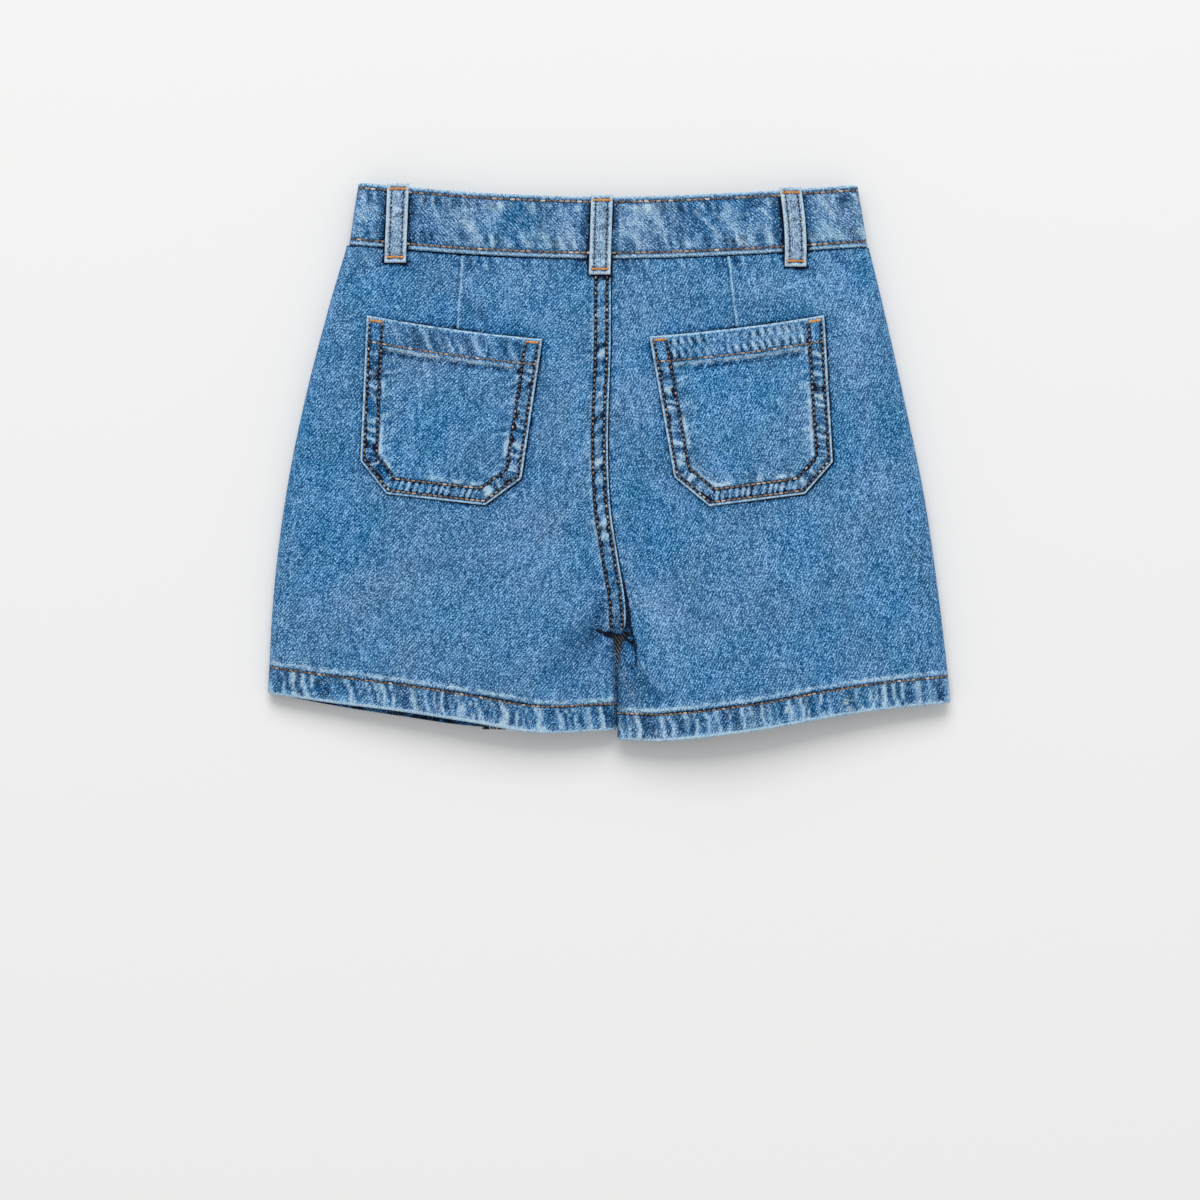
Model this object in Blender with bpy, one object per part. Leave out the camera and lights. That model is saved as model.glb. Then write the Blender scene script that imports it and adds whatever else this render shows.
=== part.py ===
"""A denim skort, lying flat on its front with its back up.

The garment is a pair of short trousers with a wrap skirt panel over the front legs.
X runs across it, with the wearer's left at -X. Y runs from the hems (-Y) to the waist (+Y),
and Z is the height above the surface that it lies on. Sizes are in millimetres and are
turned into metres where the meshes are made.

Every piece is a wall of cloth: a base surface, worked out from the tables below, is moved
out along its normal by one amount for the outer face and by another for the inner face.
"""

import math
from collections import namedtuple

import bmesh
import bpy
from mathutils import Vector

MM = 0.001

# ---------------------------------------------------------------- cloth
CLOTH = 1.2                  # one layer of denim
GAP = 0.3                    # between pieces that are sewn or lie together
LAYER = CLOTH + GAP          # the rise from one layer to the next
HEM_DEPTH = 19.6             # turned hem of the legs and of the skirt panel
HEM_STEP = 1.2               # the wall goes from one layer to two over this length
LOOP_CLOTH = 1.6             # a belt loop, folded in three and pressed

# ---------------------------------------------------------------- outline
# The side folds: one row for each section of the garment, waist to hem.
Section = namedtuple("Section", "name y left right")
SECTIONS = (
    Section("waist", 142.0, -173.4, 171.6),
    Section("hip", 104.0, -184.8, 181.0),
    Section("seat", 41.0, -201.2, 195.3),
    Section("thigh", -22.0, -213.8, 208.4),
    Section("leg", -86.0, -221.9, 217.8),
    Section("hem", -155.0, -226.0, 226.0),
)

# The waistband's top edge, by how far across it is: -1 and 1 are the side folds.
BandEdge = namedtuple("BandEdge", "across back front")
BAND_EDGES = (
    BandEdge(-1.0, 184.2, 184.2),
    BandEdge(-0.5, 177.4, 174.0),
    BandEdge(0.0, 174.8, 168.4),
    BandEdge(0.5, 177.4, 174.0),
    BandEdge(1.0, 182.6, 182.6),
)

# The hem edges of each leg and of the skirt panel, from the inner leg (0) to the side fold (1).
Hem = namedtuple("Hem", "across back front skirt")
LEFT_HEMS = (
    Hem(0.0, -177.2, -173.8, -176.2),
    Hem(0.2, -178.6, -175.6, -177.2),
    Hem(0.4, -171.4, -174.4, -176.9),
    Hem(0.6, -164.6, -168.2, -176.9),
    Hem(0.8, -159.2, -161.2, -176.9),
    Hem(1.0, -153.0, -152.6, -176.9),
)
RIGHT_HEMS = (
    Hem(0.0, -183.4, -174.0, -176.2),
    Hem(0.12, -184.0, -174.6, -178.0),
    Hem(0.4, -177.0, -172.6, -177.2),
    Hem(0.6, -169.4, -167.4, -169.0),
    Hem(0.8, -163.2, -161.6, -163.0),
    Hem(1.0, -159.2, -158.2, -159.4),
)

# ---------------------------------------------------------------- heights
# Height of the back's outer face above the surface, from the waist (0) down to the hem (1).
# The columns lie across the garment at ACROSS_OF_HEIGHTS.
Height = namedtuple("Height", "down left_fold left_leg middle right_leg right_fold")
ACROSS_OF_HEIGHTS = (-1.0, -0.45, 0.0, 0.35, 1.0)
HEIGHTS = (
    Height(0.00, 15.0, 15.0, 15.0, 15.0, 15.0),
    Height(0.15, 15.5, 17.2, 16.6, 17.4, 15.6),
    Height(0.35, 14.5, 20.0, 18.2, 20.4, 15.0),
    Height(0.60, 12.6, 20.0, 18.6, 21.4, 14.0),
    Height(0.80, 11.2, 19.2, 18.0, 22.0, 13.0),
    Height(1.00, 10.0, 18.8, 16.6, 22.6, 12.0),
)
FRONT_LIFT = 3.0             # the front's outer face at the waist seam: the band holds it up
FRONT_LIFT_LENGTH = 44.0     # it comes down to the surface over this length
HEM_LIFT_LENGTH = 12.0       # the front legs rise over the skirt panel's thicker hem in this

# ---------------------------------------------------------------- folds and seams
FOLD_ROUND = 7.0             # width of the rounded side fold
INNER_ROUND = 8.0            # width of the rounded fold along the inner leg
CROTCH_Y = -113.0
CROTCH_DIVE = 13.0           # over this length the middle seam turns down between the legs
HALF_WIDTH = 215.0           # about the width of one leg panel
TINY = 0.001                 # slack when a place in the grid is compared with a line

# The folded edge of the middle seam's lap, and the lap's width.
SeamPoint = namedtuple("SeamPoint", "y edge")
MIDDLE_SEAM = (
    SeamPoint(136.0, 1.2),
    SeamPoint(74.0, 1.0),
    SeamPoint(15.0, -0.8),
    SeamPoint(-28.0, 0.7),
    SeamPoint(-62.0, 5.6),
    SeamPoint(-90.0, 10.2),
    SeamPoint(CROTCH_Y, 11.4),
)
LAP = 10.2
LAP_STEP = 1.4               # the lap climbs onto the other panel over this width
LAP_TUCK = 3.0               # its end at the crotch is narrower by this

# The cleft between the legs, below the crotch: the inner folds of the two legs.
Cleft = namedtuple("Cleft", "y left right")
CLEFT = (
    Cleft(CROTCH_Y, 1.2, 11.4),
    Cleft(-122.0, 2.8, 8.2),
    Cleft(-135.0, 4.2, 5.9),
    Cleft(-190.0, 4.2, 5.3),
)

# The skirt panel's free edge lies on the left thigh, this share of the way to the side fold.
FREE_SHARE = 0.383
# Beside it the left front leg comes down to the surface, between these two shares.
STEP_DOWN = (0.392, 0.455)

# ---------------------------------------------------------------- waistband
BAND_WIDTH = 41.0
BAND_CLOTH = 2.4
BAND_BACK_Z = 15.6           # its outer face at the back
BAND_FRONT_Z = 2.4           # its outer face at the front, above the button's head
BAND_TOP_LEFT = -165.6
BAND_TOP_RIGHT = 164.3
BAND_SEAM_LEFT = -171.8
BAND_SEAM_RIGHT = 170.9
BAND_OVERLAP = 46.0
BAND_OVER_END = -86.0        # the outer end, just past the skirt panel's free edge
BAND_CLIMB = 20.0            # the under end climbs over the outer one in this length

# ---------------------------------------------------------------- pockets, loops, button
# A row for each corner, clockwise from the top left, for both pockets.
Corner = namedtuple("Corner", "name left_x left_y right_x right_y")
POCKET_CORNERS = {
    corner.name: corner
    for corner in (
        Corner("top_left", -159.5, 96.4, 26.4, 82.4),
        Corner("top_right", -43.7, 80.6, 141.6, 96.4),
        Corner("lower_right", -57.6, -11.4, 147.2, -0.4),
        Corner("bottom_right", -81.4, -28.8, 128.8, -21.4),
        Corner("bottom_left", -146.4, -21.4, 65.8, -29.6),
        Corner("lower_left", -163.7, 0.6, 42.8, -10.4),
    )
}
POCKET_HEM = 19.4
POCKET_SIDE = 97.0
POCKET_SAG = 1.6

# A row for each belt loop. "layers" is what its lower end climbs: the centre one is on the lap.
Loop = namedtuple("Loop", "name face top_x top_y end_x end_y layers")
LOOPS = (
    Loop("loop_back_left", 1, -138.8, 183.2, -140.8, 131.0, 0),
    Loop("loop_back_centre", 1, -4.6, 175.8, -6.2, 123.0, 1),
    Loop("loop_back_right", 1, 119.2, 180.8, 122.8, 128.4, 0),
    Loop("loop_front_left", -1, -122.0, 178.0, -124.4, 126.0, 0),
    Loop("loop_front_right", -1, 104.0, 175.2, 106.4, 123.2, 0),
)
LOOP_WIDTH = 14.2
LOOP_BOW = 1.1

BUTTON_ACROSS = 17.0
BUTTON_X = -74.0
BUTTON_FACETS = 24


# ---------------------------------------------------------------- tables and curves
def along(rows, key, column, at):
    """Read a column of a table as a smooth curve through its rows."""
    ordered = sorted(rows, key=lambda row: getattr(row, key))
    keys = [getattr(row, key) for row in ordered]
    values = [getattr(row, column) for row in ordered]
    return smooth(keys, values, at)


def smooth(keys, values, at):
    """Cubic through the values; past either end it goes on level."""
    at = min(max(at, keys[0]), keys[-1])
    last = len(keys) - 1
    i = 0
    while i < last - 1 and at > keys[i + 1]:
        i += 1
    span = keys[i + 1] - keys[i]
    t = (at - keys[i]) / span
    rise = values[i + 1] - values[i]

    def slope(j):
        before = max(j - 1, 0)
        after = min(j + 1, last)
        return (values[after] - values[before]) / (keys[after] - keys[before]) * span

    start, end = slope(i), slope(i + 1)
    return (values[i] + t * start
            + t * t * (3 * rise - 2 * start - end)
            + t * t * t * (start + end - 2 * rise))


def ease(t):
    """0 to 1 with level ends."""
    t = min(max(t, 0.0), 1.0)
    return t * t * (3.0 - 2.0 * t)


def mix(a, b, t):
    return a + (b - a) * t


# ---------------------------------------------------------------- the garment's lines
def fold_x(side, y):
    return along(SECTIONS, "y", "left" if side < 0 else "right", y)


def inner_x(side, y):
    """Where a leg panel ends towards the middle: at the seam, or below it at the inner leg."""
    if y < CROTCH_Y:
        return along(CLEFT, "y", "left" if side < 0 else "right", y)
    edge = along(MIDDLE_SEAM, "y", "edge", y)
    return edge - LAP if side < 0 else edge


def waist_y(side, across, face):
    column = "back" if face > 0 else "front"
    return along(BAND_EDGES, "across", column, side * across) - BAND_WIDTH - GAP


def hem_y(side, across, column):
    return along(LEFT_HEMS if side < 0 else RIGHT_HEMS, "across", column, across)


def free_edge_x(y):
    return mix(inner_x(-1, y), fold_x(-1, y), FREE_SHARE)


def share_across(side, x, y):
    inner = inner_x(side, y)
    share = (x - inner) / (fold_x(side, y) - inner)
    return min(max(share, 0.0), 1.0)


def back_height(side, x, y):
    """The back's outer face, before the folds at the sides and the inner legs round it."""
    across = share_across(side, x, y)
    top = waist_y(side, across, 1)
    down = (top - y) / (top - hem_y(side, across, "back"))
    columns = Height._fields[1:]
    row = [along(HEIGHTS, "down", column, down) for column in columns]
    return smooth(ACROSS_OF_HEIGHTS, row, side * across)


def front_lift(side, x, y):
    """The front's lowest face: flat on the surface, and lifted near the waist."""
    top = waist_y(side, share_across(side, x, y), -1)
    return FRONT_LIFT * ease(1.0 - (top - y) / FRONT_LIFT_LENGTH)


def skirt_thickness(side, across, y):
    """How far a front leg lies inside the skirt panel's outer face: more along its hem."""
    hem_line = hem_y(side, across, "skirt") + HEM_DEPTH
    return LAYER + CLOTH * ease((hem_line + HEM_LIFT_LENGTH - y) / HEM_LIFT_LENGTH)


def front_height(side, x, y):
    """The outer face of a front leg: it lies on the skirt panel, and beside it on the surface."""
    across = share_across(side, x, y)
    covered = 1.0
    if side < 0:
        covered = ease((STEP_DOWN[1] - across) / (STEP_DOWN[1] - STEP_DOWN[0]))
    return front_lift(side, x, y) + covered * skirt_thickness(side, across, y)


# ---------------------------------------------------------------- walls of cloth
def never(u, v):
    return False


def always(u, v):
    return True


def wall(name, surface, columns, rows, outer, cloth, sign, present=always, upright=never):
    """A closed wall over a base surface: outer() is how far out it lies, cloth() how thick.

    present() leaves out cells of the grid, and at upright() points the wall stands on end.
    """
    def normal(u, v):
        step = 0.0005
        along_u = surface(u + step, v) - surface(u - step, v)
        along_v = surface(u, v + step) - surface(u, v - step)
        out = along_u.cross(along_v).normalized() * sign
        if upright(u, v):
            out.z = 0.0
            out.normalize()
        return out

    mesh = bmesh.new()
    shells = ([], [])
    for u in columns:
        for shell in shells:
            shell.append([])
        for v in rows:
            base, out = surface(u, v), normal(u, v)
            high = outer(u, v)
            shells[0][-1].append(mesh.verts.new((base + out * high) * MM))
            shells[1][-1].append(mesh.verts.new((base + out * (high - cloth(u, v))) * MM))

    def exists(i, j):
        inside = 0 <= i < len(columns) - 1 and 0 <= j < len(rows) - 1
        return inside and present(columns[i], rows[j])

    for i in range(len(columns) - 1):
        for j in range(len(rows) - 1):
            if not exists(i, j):
                continue
            ring = ((i, j), (i + 1, j), (i + 1, j + 1), (i, j + 1))
            mesh.faces.new([shells[0][a][b] for a, b in ring])
            mesh.faces.new([shells[1][a][b] for a, b in reversed(ring)])
            beside = ((i, j - 1), (i + 1, j), (i, j + 1), (i - 1, j))
            for k, other in enumerate(beside):
                if exists(*other):
                    continue
                (a, b), (c, d) = ring[k], ring[(k + 1) % 4]
                mesh.faces.new((shells[0][c][d], shells[0][a][b], shells[1][a][b], shells[1][c][d]))
    loose = [vert for vert in mesh.verts if not vert.link_faces]
    bmesh.ops.delete(mesh, geom=loose, context="VERTS")
    return finish(name, mesh)


def finish(name, mesh):
    """Turn a bmesh into a named object with its faces pointing out."""
    bmesh.ops.recalc_face_normals(mesh, faces=mesh.faces)
    data = bpy.data.meshes.new(name)
    mesh.to_mesh(data)
    mesh.free()
    data.shade_smooth()
    data.set_sharp_from_angle(angle=math.radians(40))
    part = bpy.data.objects.new(name, data)
    bpy.context.scene.collection.objects.link(part)
    return part


def steps(start, end, count):
    return [mix(start, end, i / count) for i in range(count + 1)]


# ---------------------------------------------------------------- leg panels
# Across a leg panel u runs 0-1 round the side fold, 1-2 over the flat of the panel,
# 2-3 round the inner leg, and 3-4 over the lap of the middle seam.
SEAM_COLUMN = 3.0
LAP_FROM, LAP_TO = 2.86, 3.14   # the lap steps from one layer to the next between these
def flat_column(share):
    """The u of a line down the flat of a panel, at this share of the way out to the fold."""
    shoulder = 1.0 - FOLD_ROUND / HALF_WIDTH
    return 1.0 + (shoulder - share) / (shoulder - INNER_ROUND / HALF_WIDTH)


def leg_surface(side, face, height, hem):
    under_skirt = side > 0 > face

    def surface(u, v):
        turn = math.radians(90) * min(u, 1.0)
        across = 1.0 - FOLD_ROUND * (1.0 - math.cos(turn)) / HALF_WIDTH
        if u > 1:
            across *= max(2.0 - u, 0.0)
        y = mix(waist_y(side, across, face), hem_y(side, across, hem), v)
        inset = skirt_thickness(side, 1.0, y) if under_skirt else 0.0
        round_width = FOLD_ROUND - inset
        from_fold = round_width * (1.0 - math.cos(turn))
        outer, inner = fold_x(side, y) - side * inset, inner_x(side, y)
        on_lap = u > SEAM_COLUMN and y >= CROTCH_Y - TINY
        inner_angle = 0.0 if on_lap else math.radians(90) * min(3.0 - u, 1.0)
        if u <= 1:
            x = outer - side * from_fold
        elif u <= 2:
            x = mix(outer - side * round_width, inner + side * INNER_ROUND, u - 1)
        elif on_lap:
            x = mix(inner, lap_end(side, face, y), u - 3)
        else:
            x = inner + side * INNER_ROUND * (1.0 - math.cos(inner_angle))
        z = height(side, x, y)
        if u <= 1:
            level = seam_level(side, outer, y, face)
            z = mix(level, z, math.sin(turn))
        if u > 2:
            level = seam_level(side, inner, y, face)
            z -= crotch_drop(y) * (z - level) * (1.0 - math.sin(inner_angle))
        return Vector((x, y, z))

    return surface


def lap_end(side, face, y):
    """The left panel laps over the right one; at the front its edge stops short of the step."""
    if side > 0:
        return inner_x(-1, y) + LAP_STEP
    short = LAP_TUCK * crotch_drop(y)
    return inner_x(1, y) - short - (LAP_STEP + 2 * GAP if face < 0 else 0.0)


def seam_level(side, x, y, face):
    """Where back and front meet at a side or inner seam: half way up, less half the gap."""
    bottom = front_lift(side, x, y)
    middle = (back_height(side, x, y) + bottom) / 2.0
    return middle + face * GAP / 2.0


def crotch_drop(y):
    """The middle seam goes round a quarter turn, from 0 above the crotch to 1 at it and below."""
    t = min(max((CROTCH_Y + CROTCH_DIVE - y) / CROTCH_DIVE, 0.0), 1.0)
    return 1.0 - math.sqrt(1.0 - t * t)


def leg_rows(side, face, hem, spots):
    """Rows from the waist to the hem, by their y along the middle, with two at the hem line."""
    top, bottom = waist_y(side, 0.0, face), hem_y(side, 0.0, hem)
    length = top - bottom
    down = [0.0] + [(top - y) / length for y in spots]
    hem_line = 1.0 - HEM_DEPTH / length
    return down + [hem_line, hem_line + HEM_STEP / length, 1.0]


def leg_panel(name, side, face, lap_out, columns, spots):
    hem = "back" if face > 0 else "front"
    height = back_height if face > 0 else front_height
    surface = leg_surface(side, face, height, hem)
    rows = leg_rows(side, face, hem, spots)
    top, bottom = waist_y(side, 0.0, face), hem_y(side, 0.0, hem)
    crotch = (top - CROTCH_Y) / (top - bottom)
    hem_line = rows[-3]

    def outer(u, v):
        return lap_out * LAYER * ease((u - LAP_FROM) / (LAP_TO - LAP_FROM))

    def cloth(u, v):
        return CLOTH if v < hem_line + TINY else 2 * CLOTH

    def present(u, v):
        return u < SEAM_COLUMN - TINY or v < crotch - TINY

    def upright(u, v):
        return u == 0 or (u > SEAM_COLUMN - TINY and v > crotch - TINY)

    return wall(name, surface, columns, rows, outer, cloth, side * face, present, upright)


# ---------------------------------------------------------------- skirt panel
def skirt_panel(name, spots):
    """The wrap panel: u 0-1 round the right side fold, 1-2 flat to its free edge."""
    def surface(u, v):
        turn = math.radians(90) * min(u, 1.0)
        from_fold = FOLD_ROUND * (1.0 - math.cos(turn))
        side, across = 1, 1.0 - from_fold / HALF_WIDTH
        if u > 1:
            across = mix(across, -FREE_SHARE, u - 1)
            side, across = (1 if across > 0 else -1), abs(across)
        for _ in range(2):
            y = mix(waist_y(side, across, -1), hem_y(side, across, "skirt"), v)
            right = fold_x(1, y)
            x = mix(right - from_fold, free_edge_x(y), max(u - 1, 0.0))
            side = 1 if x > inner_x(1, y) else -1
            across = share_across(side, x, y)
        z = front_lift(side, x, y)
        if u <= 1:
            z = mix(seam_level(1, right, y, -1), z, math.sin(turn))
        return Vector((x, y, z))

    rows = leg_rows(1, -1, "skirt", spots)
    hem_line = rows[-3]

    def outer(u, v):
        return 0.0

    def cloth(u, v):
        return CLOTH if v < hem_line + TINY else 2 * CLOTH

    def upright(u, v):
        return u == 0

    columns = steps(0, 1, 4) + steps(1, 2, 9)[1:]
    return wall(name, surface, columns, rows, outer, cloth, -1, always, upright)


# ---------------------------------------------------------------- waistband
Station = namedtuple("Station", "top_x seam_x z face")


def band_path():
    """The band's middle line, from its outer end round the back to its under end."""
    front = BAND_FRONT_Z + BAND_CLOTH / 2.0
    back = BAND_BACK_Z - BAND_CLOTH / 2.0
    centre, radius = (front + back) / 2.0, (back - front) / 2.0
    inset = radius + BAND_CLOTH / 2.0

    def station(share, bulge, z, face):
        """share is -1 at the left end of the flat and 1 at the right; bulge goes round a fold."""
        left, right = BAND_TOP_LEFT + inset, BAND_TOP_RIGHT - inset
        top_x = mix(left, right, (share + 1) / 2) + bulge
        left, right = BAND_SEAM_LEFT + inset, BAND_SEAM_RIGHT - inset
        seam_x = mix(left, right, (share + 1) / 2) + bulge
        return Station(top_x, seam_x, z, face)

    half = BAND_TOP_RIGHT - inset
    over_end = BAND_OVER_END / half
    path = [station(share, 0.0, front, -1.0) for share in steps(over_end, 1.0, 12)]
    for i in range(1, 6):
        angle = math.radians(-90 + 30 * i)
        rise = centre + radius * math.sin(angle)
        path.append(station(1.0, radius * math.cos(angle), rise, math.sin(angle)))
    path += [station(share, 0.0, back, 1.0) for share in steps(1.0, -1.0, 12)]
    for i in range(1, 6):
        angle = math.radians(90 - 30 * i)
        rise = centre + radius * math.sin(angle)
        path.append(station(-1.0, -radius * math.cos(angle), rise, math.sin(angle)))
    under_end = (BAND_OVER_END + BAND_OVERLAP) / half
    climb = BAND_CLOTH + GAP
    start = BAND_OVER_END - BAND_CLIMB - 2.0
    for share in steps(-1.0, start / half, 2):
        path.append(station(share, 0.0, front, -1.0))
    for t in (0.25, 0.5, 0.75, 1.0):
        share = (start + t * BAND_CLIMB) / half
        path.append(station(share, 0.0, front + climb * ease(t), -1.0))
    for share in steps((start + BAND_CLIMB) / half, under_end, 3)[1:]:
        path.append(station(share, 0.0, front + climb, -1.0))
    return path


def band_top_y(station):
    half = BAND_TOP_RIGHT if station.top_x > 0 else -BAND_TOP_LEFT
    across = station.top_x / half
    back = along(BAND_EDGES, "across", "back", across)
    front = along(BAND_EDGES, "across", "front", across)
    return mix(front, back, (station.face + 1) / 2)


def waistband(name):
    """A flat section carried along the band's path; its top edge is a fold, so it is round."""
    path = band_path()
    half = BAND_CLOTH / 2.0
    fold = half * math.cos(math.radians(45))
    # across the section: drop from the top edge, and distance out from the middle line
    section = ((half, half), (half - fold, fold), (0.0, 0.0), (half - fold, -fold), (half, -half),
               (BAND_WIDTH, -half), (BAND_WIDTH, half))
    mesh = bmesh.new()
    rings = []
    for i, station in enumerate(path):
        before, after = path[max(i - 1, 0)], path[min(i + 1, len(path) - 1)]
        run = Vector((after.top_x - before.top_x, 0.0, after.z - before.z)).normalized()
        out = Vector((run.z, 0.0, -run.x))
        top = band_top_y(station)
        ring = []
        for drop, away in section:
            x = mix(station.top_x, station.seam_x, drop / BAND_WIDTH)
            place = Vector((x, top - drop, station.z)) + out * away
            ring.append(mesh.verts.new(place * MM))
        rings.append(ring)
    count = len(section)
    for ring, following in zip(rings, rings[1:]):
        for k in range(count):
            other = (k + 1) % count
            mesh.faces.new((ring[k], ring[other], following[other], following[k]))
    mesh.faces.new(rings[0])
    mesh.faces.new(rings[-1])
    return finish(name, mesh)


# ---------------------------------------------------------------- pockets
def pocket_corner(side, name):
    corner = POCKET_CORNERS[name]
    return (corner.left_x, corner.left_y) if side < 0 else (corner.right_x, corner.right_y)


def pocket(name, side):
    """u runs 0-1 across; v runs 0-1 down the straight sides and 1-2 down the cut corners."""
    def edge(names, v):
        index = 0 if v <= 1 else 1
        start, end = pocket_corner(side, names[index]), pocket_corner(side, names[index + 1])
        t = v - index
        return mix(start[0], end[0], t), mix(start[1], end[1], t)

    def surface(u, v):
        left = edge(("top_left", "lower_left", "bottom_left"), v)
        right = edge(("top_right", "lower_right", "bottom_right"), v)
        sag = POCKET_SAG * 4 * u * (1 - u) * (1 - ease(v / 0.4))
        x, y = mix(left[0], right[0], u), mix(left[1], right[1], u) - sag
        return Vector((x, y, back_height(side, x, y)))

    hem_line = POCKET_HEM / POCKET_SIDE

    def cloth(u, v):
        return 2 * CLOTH if v < hem_line + TINY else CLOTH

    def outer(u, v):
        return GAP + cloth(u, v)

    rows = [0.0, hem_line, hem_line + HEM_STEP / POCKET_SIDE, 0.5, 0.75, 1.0, 1.5, 2.0]
    return wall(name, surface, steps(0, 1, 8), rows, outer, cloth, -1)


# ---------------------------------------------------------------- belt loops
def belt_loop(loop):
    """A strip bowed out over the waistband, its lower end just below the band."""
    side = 1 if loop.top_x > 0 else -1
    band_z = BAND_BACK_Z if loop.face > 0 else BAND_FRONT_Z
    height = back_height if loop.face > 0 else front_lift

    def surface(u, v):
        x = mix(loop.top_x, loop.end_x, v) + (u - 0.5) * LOOP_WIDTH
        y = mix(loop.top_y, loop.end_y, v)
        edge = waist_y(side, share_across(side, x, y), loop.face)
        on_band = ease((y - edge + 3.0) / 3.0)
        z = mix(height(side, x, y) + loop.layers * LAYER, band_z, on_band)
        return Vector((x, y, z))

    def bow(u, v):
        lift = LOOP_BOW if loop.face > 0 else LOOP_BOW / 4
        return GAP + LOOP_CLOTH + lift * ease(math.sin(math.pi * v) * 1.3)

    def cloth(u, v):
        return LOOP_CLOTH

    return wall(loop.name, surface, steps(0, 1, 2), steps(0, 1, 9), bow, cloth, -loop.face)


# ---------------------------------------------------------------- button
def button(name):
    """A plain shank button: a domed head, turned, face down under the band's outer end."""
    radius = BUTTON_ACROSS / 2.0
    height = BAND_FRONT_Z - GAP
    profile = ((0.0, 0.0), (radius - 2.2, 0.0), (radius - 0.5, 0.4), (radius, 1.0),
               (radius - 0.4, height), (0.0, height))
    side = -1
    across = abs(BUTTON_X / BAND_TOP_LEFT)
    centre_y = along(BAND_EDGES, "across", "front", side * across) - BAND_WIDTH / 2.0
    mesh = bmesh.new()
    line = [mesh.verts.new((out * MM, 0.0, z * MM)) for out, z in profile]
    edges = [mesh.edges.new(pair) for pair in zip(line, line[1:])]
    bmesh.ops.spin(mesh, geom=line + edges, cent=(0, 0, 0), axis=(0, 0, 1),
                   angle=math.radians(360), steps=BUTTON_FACETS)
    bmesh.ops.remove_doubles(mesh, verts=mesh.verts, dist=0.00001)
    part = finish(name, mesh)
    part.location = (BUTTON_X * MM, centre_y * MM, 0.0)
    return part


# ---------------------------------------------------------------- materials
def material(name, colour, roughness, metallic=0.0):
    finish_of = bpy.data.materials.new(name)
    finish_of.use_nodes = True
    shader = finish_of.node_tree.nodes["Principled BSDF"]
    shader.inputs["Base Color"].default_value = (*colour, 1.0)
    shader.inputs["Roughness"].default_value = roughness
    shader.inputs["Metallic"].default_value = metallic
    return finish_of


DENIM = (0.085, 0.215, 0.415)
BAND_DENIM = (0.105, 0.225, 0.390)
INNER_DENIM = (0.075, 0.195, 0.380)
BRASS = (0.45, 0.28, 0.14)


def build():
    for old in list(bpy.data.objects):
        bpy.data.objects.remove(old, do_unlink=True)

    # grid lines across the panels
    fold_columns = steps(0, 1, 4)
    back_columns = fold_columns + steps(1, 2, 8)[1:] + steps(2, 3, 4)[1:] + [LAP_TO, 3.6, 4.0]
    inner_columns = steps(2, 3, 3)[1:] + [LAP_TO, 4.0]
    right_columns = fold_columns + steps(1, 2, 6)[1:] + inner_columns
    step_columns = [flat_column(share) for share in reversed(STEP_DOWN)]
    left_columns = fold_columns + [1.2, 1.4] + step_columns + [1.8, 2.0] + inner_columns

    # grid lines down the panels, by their y along the middle
    turns = [math.radians(turn) for turn in (0, 22.5, 45, 67.5, 90)]
    dive = [CROTCH_Y + CROTCH_DIVE * (1.0 - math.sin(turn)) for turn in turns]
    back_spots = [118, 96, 70, 42, 12, -18, -48, -76] + dive + [-118, -126, -136, -147]
    lift_spots = [114, 104, 94, 84]
    front_spots = lift_spots + [50, 10, -30, -65] + dive[::2] + [-124, -144]

    parts = {
        "denim": [
            leg_panel("back_left", -1, 1, 1.0, back_columns, back_spots),
            leg_panel("back_right", 1, 1, 0.0, back_columns, back_spots),
            pocket("pocket_left", -1),
            pocket("pocket_right", 1),
            skirt_panel("skirt_front", front_spots),
        ],
        "front_denim": [
            leg_panel("front_left", -1, -1, 0.0, left_columns, front_spots),
            leg_panel("front_right", 1, -1, -1.0, right_columns, front_spots),
        ],
        "band_denim": [waistband("waistband")] + [belt_loop(loop) for loop in LOOPS],
        "brass": [button("button")],
    }
    finishes = {
        "denim": material("denim", DENIM, 0.9),
        "front_denim": material("front_denim", INNER_DENIM, 0.9),
        "band_denim": material("band_denim", BAND_DENIM, 0.9),
        "brass": material("brass", BRASS, 0.35, 1.0),
    }
    for slot, pieces in parts.items():
        for piece in pieces:
            piece.data.materials.append(finishes[slot])


build()
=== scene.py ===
"""The looks of the denim skort, which lies on its front with its back up.

Every piece of cloth is a fine wall over the same lines and tables as the part's solids, with
its puckers, creases, folded edges and wear added to it. Sizes are in millimetres, and are
turned into metres where the meshes are made. The wearer's left is at -X and the waist at +Y.
A side is -1 on the wearer's left and 1 on the right. A face is 1 at the back and -1 in front.
"""

import math
from collections import namedtuple

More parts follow.
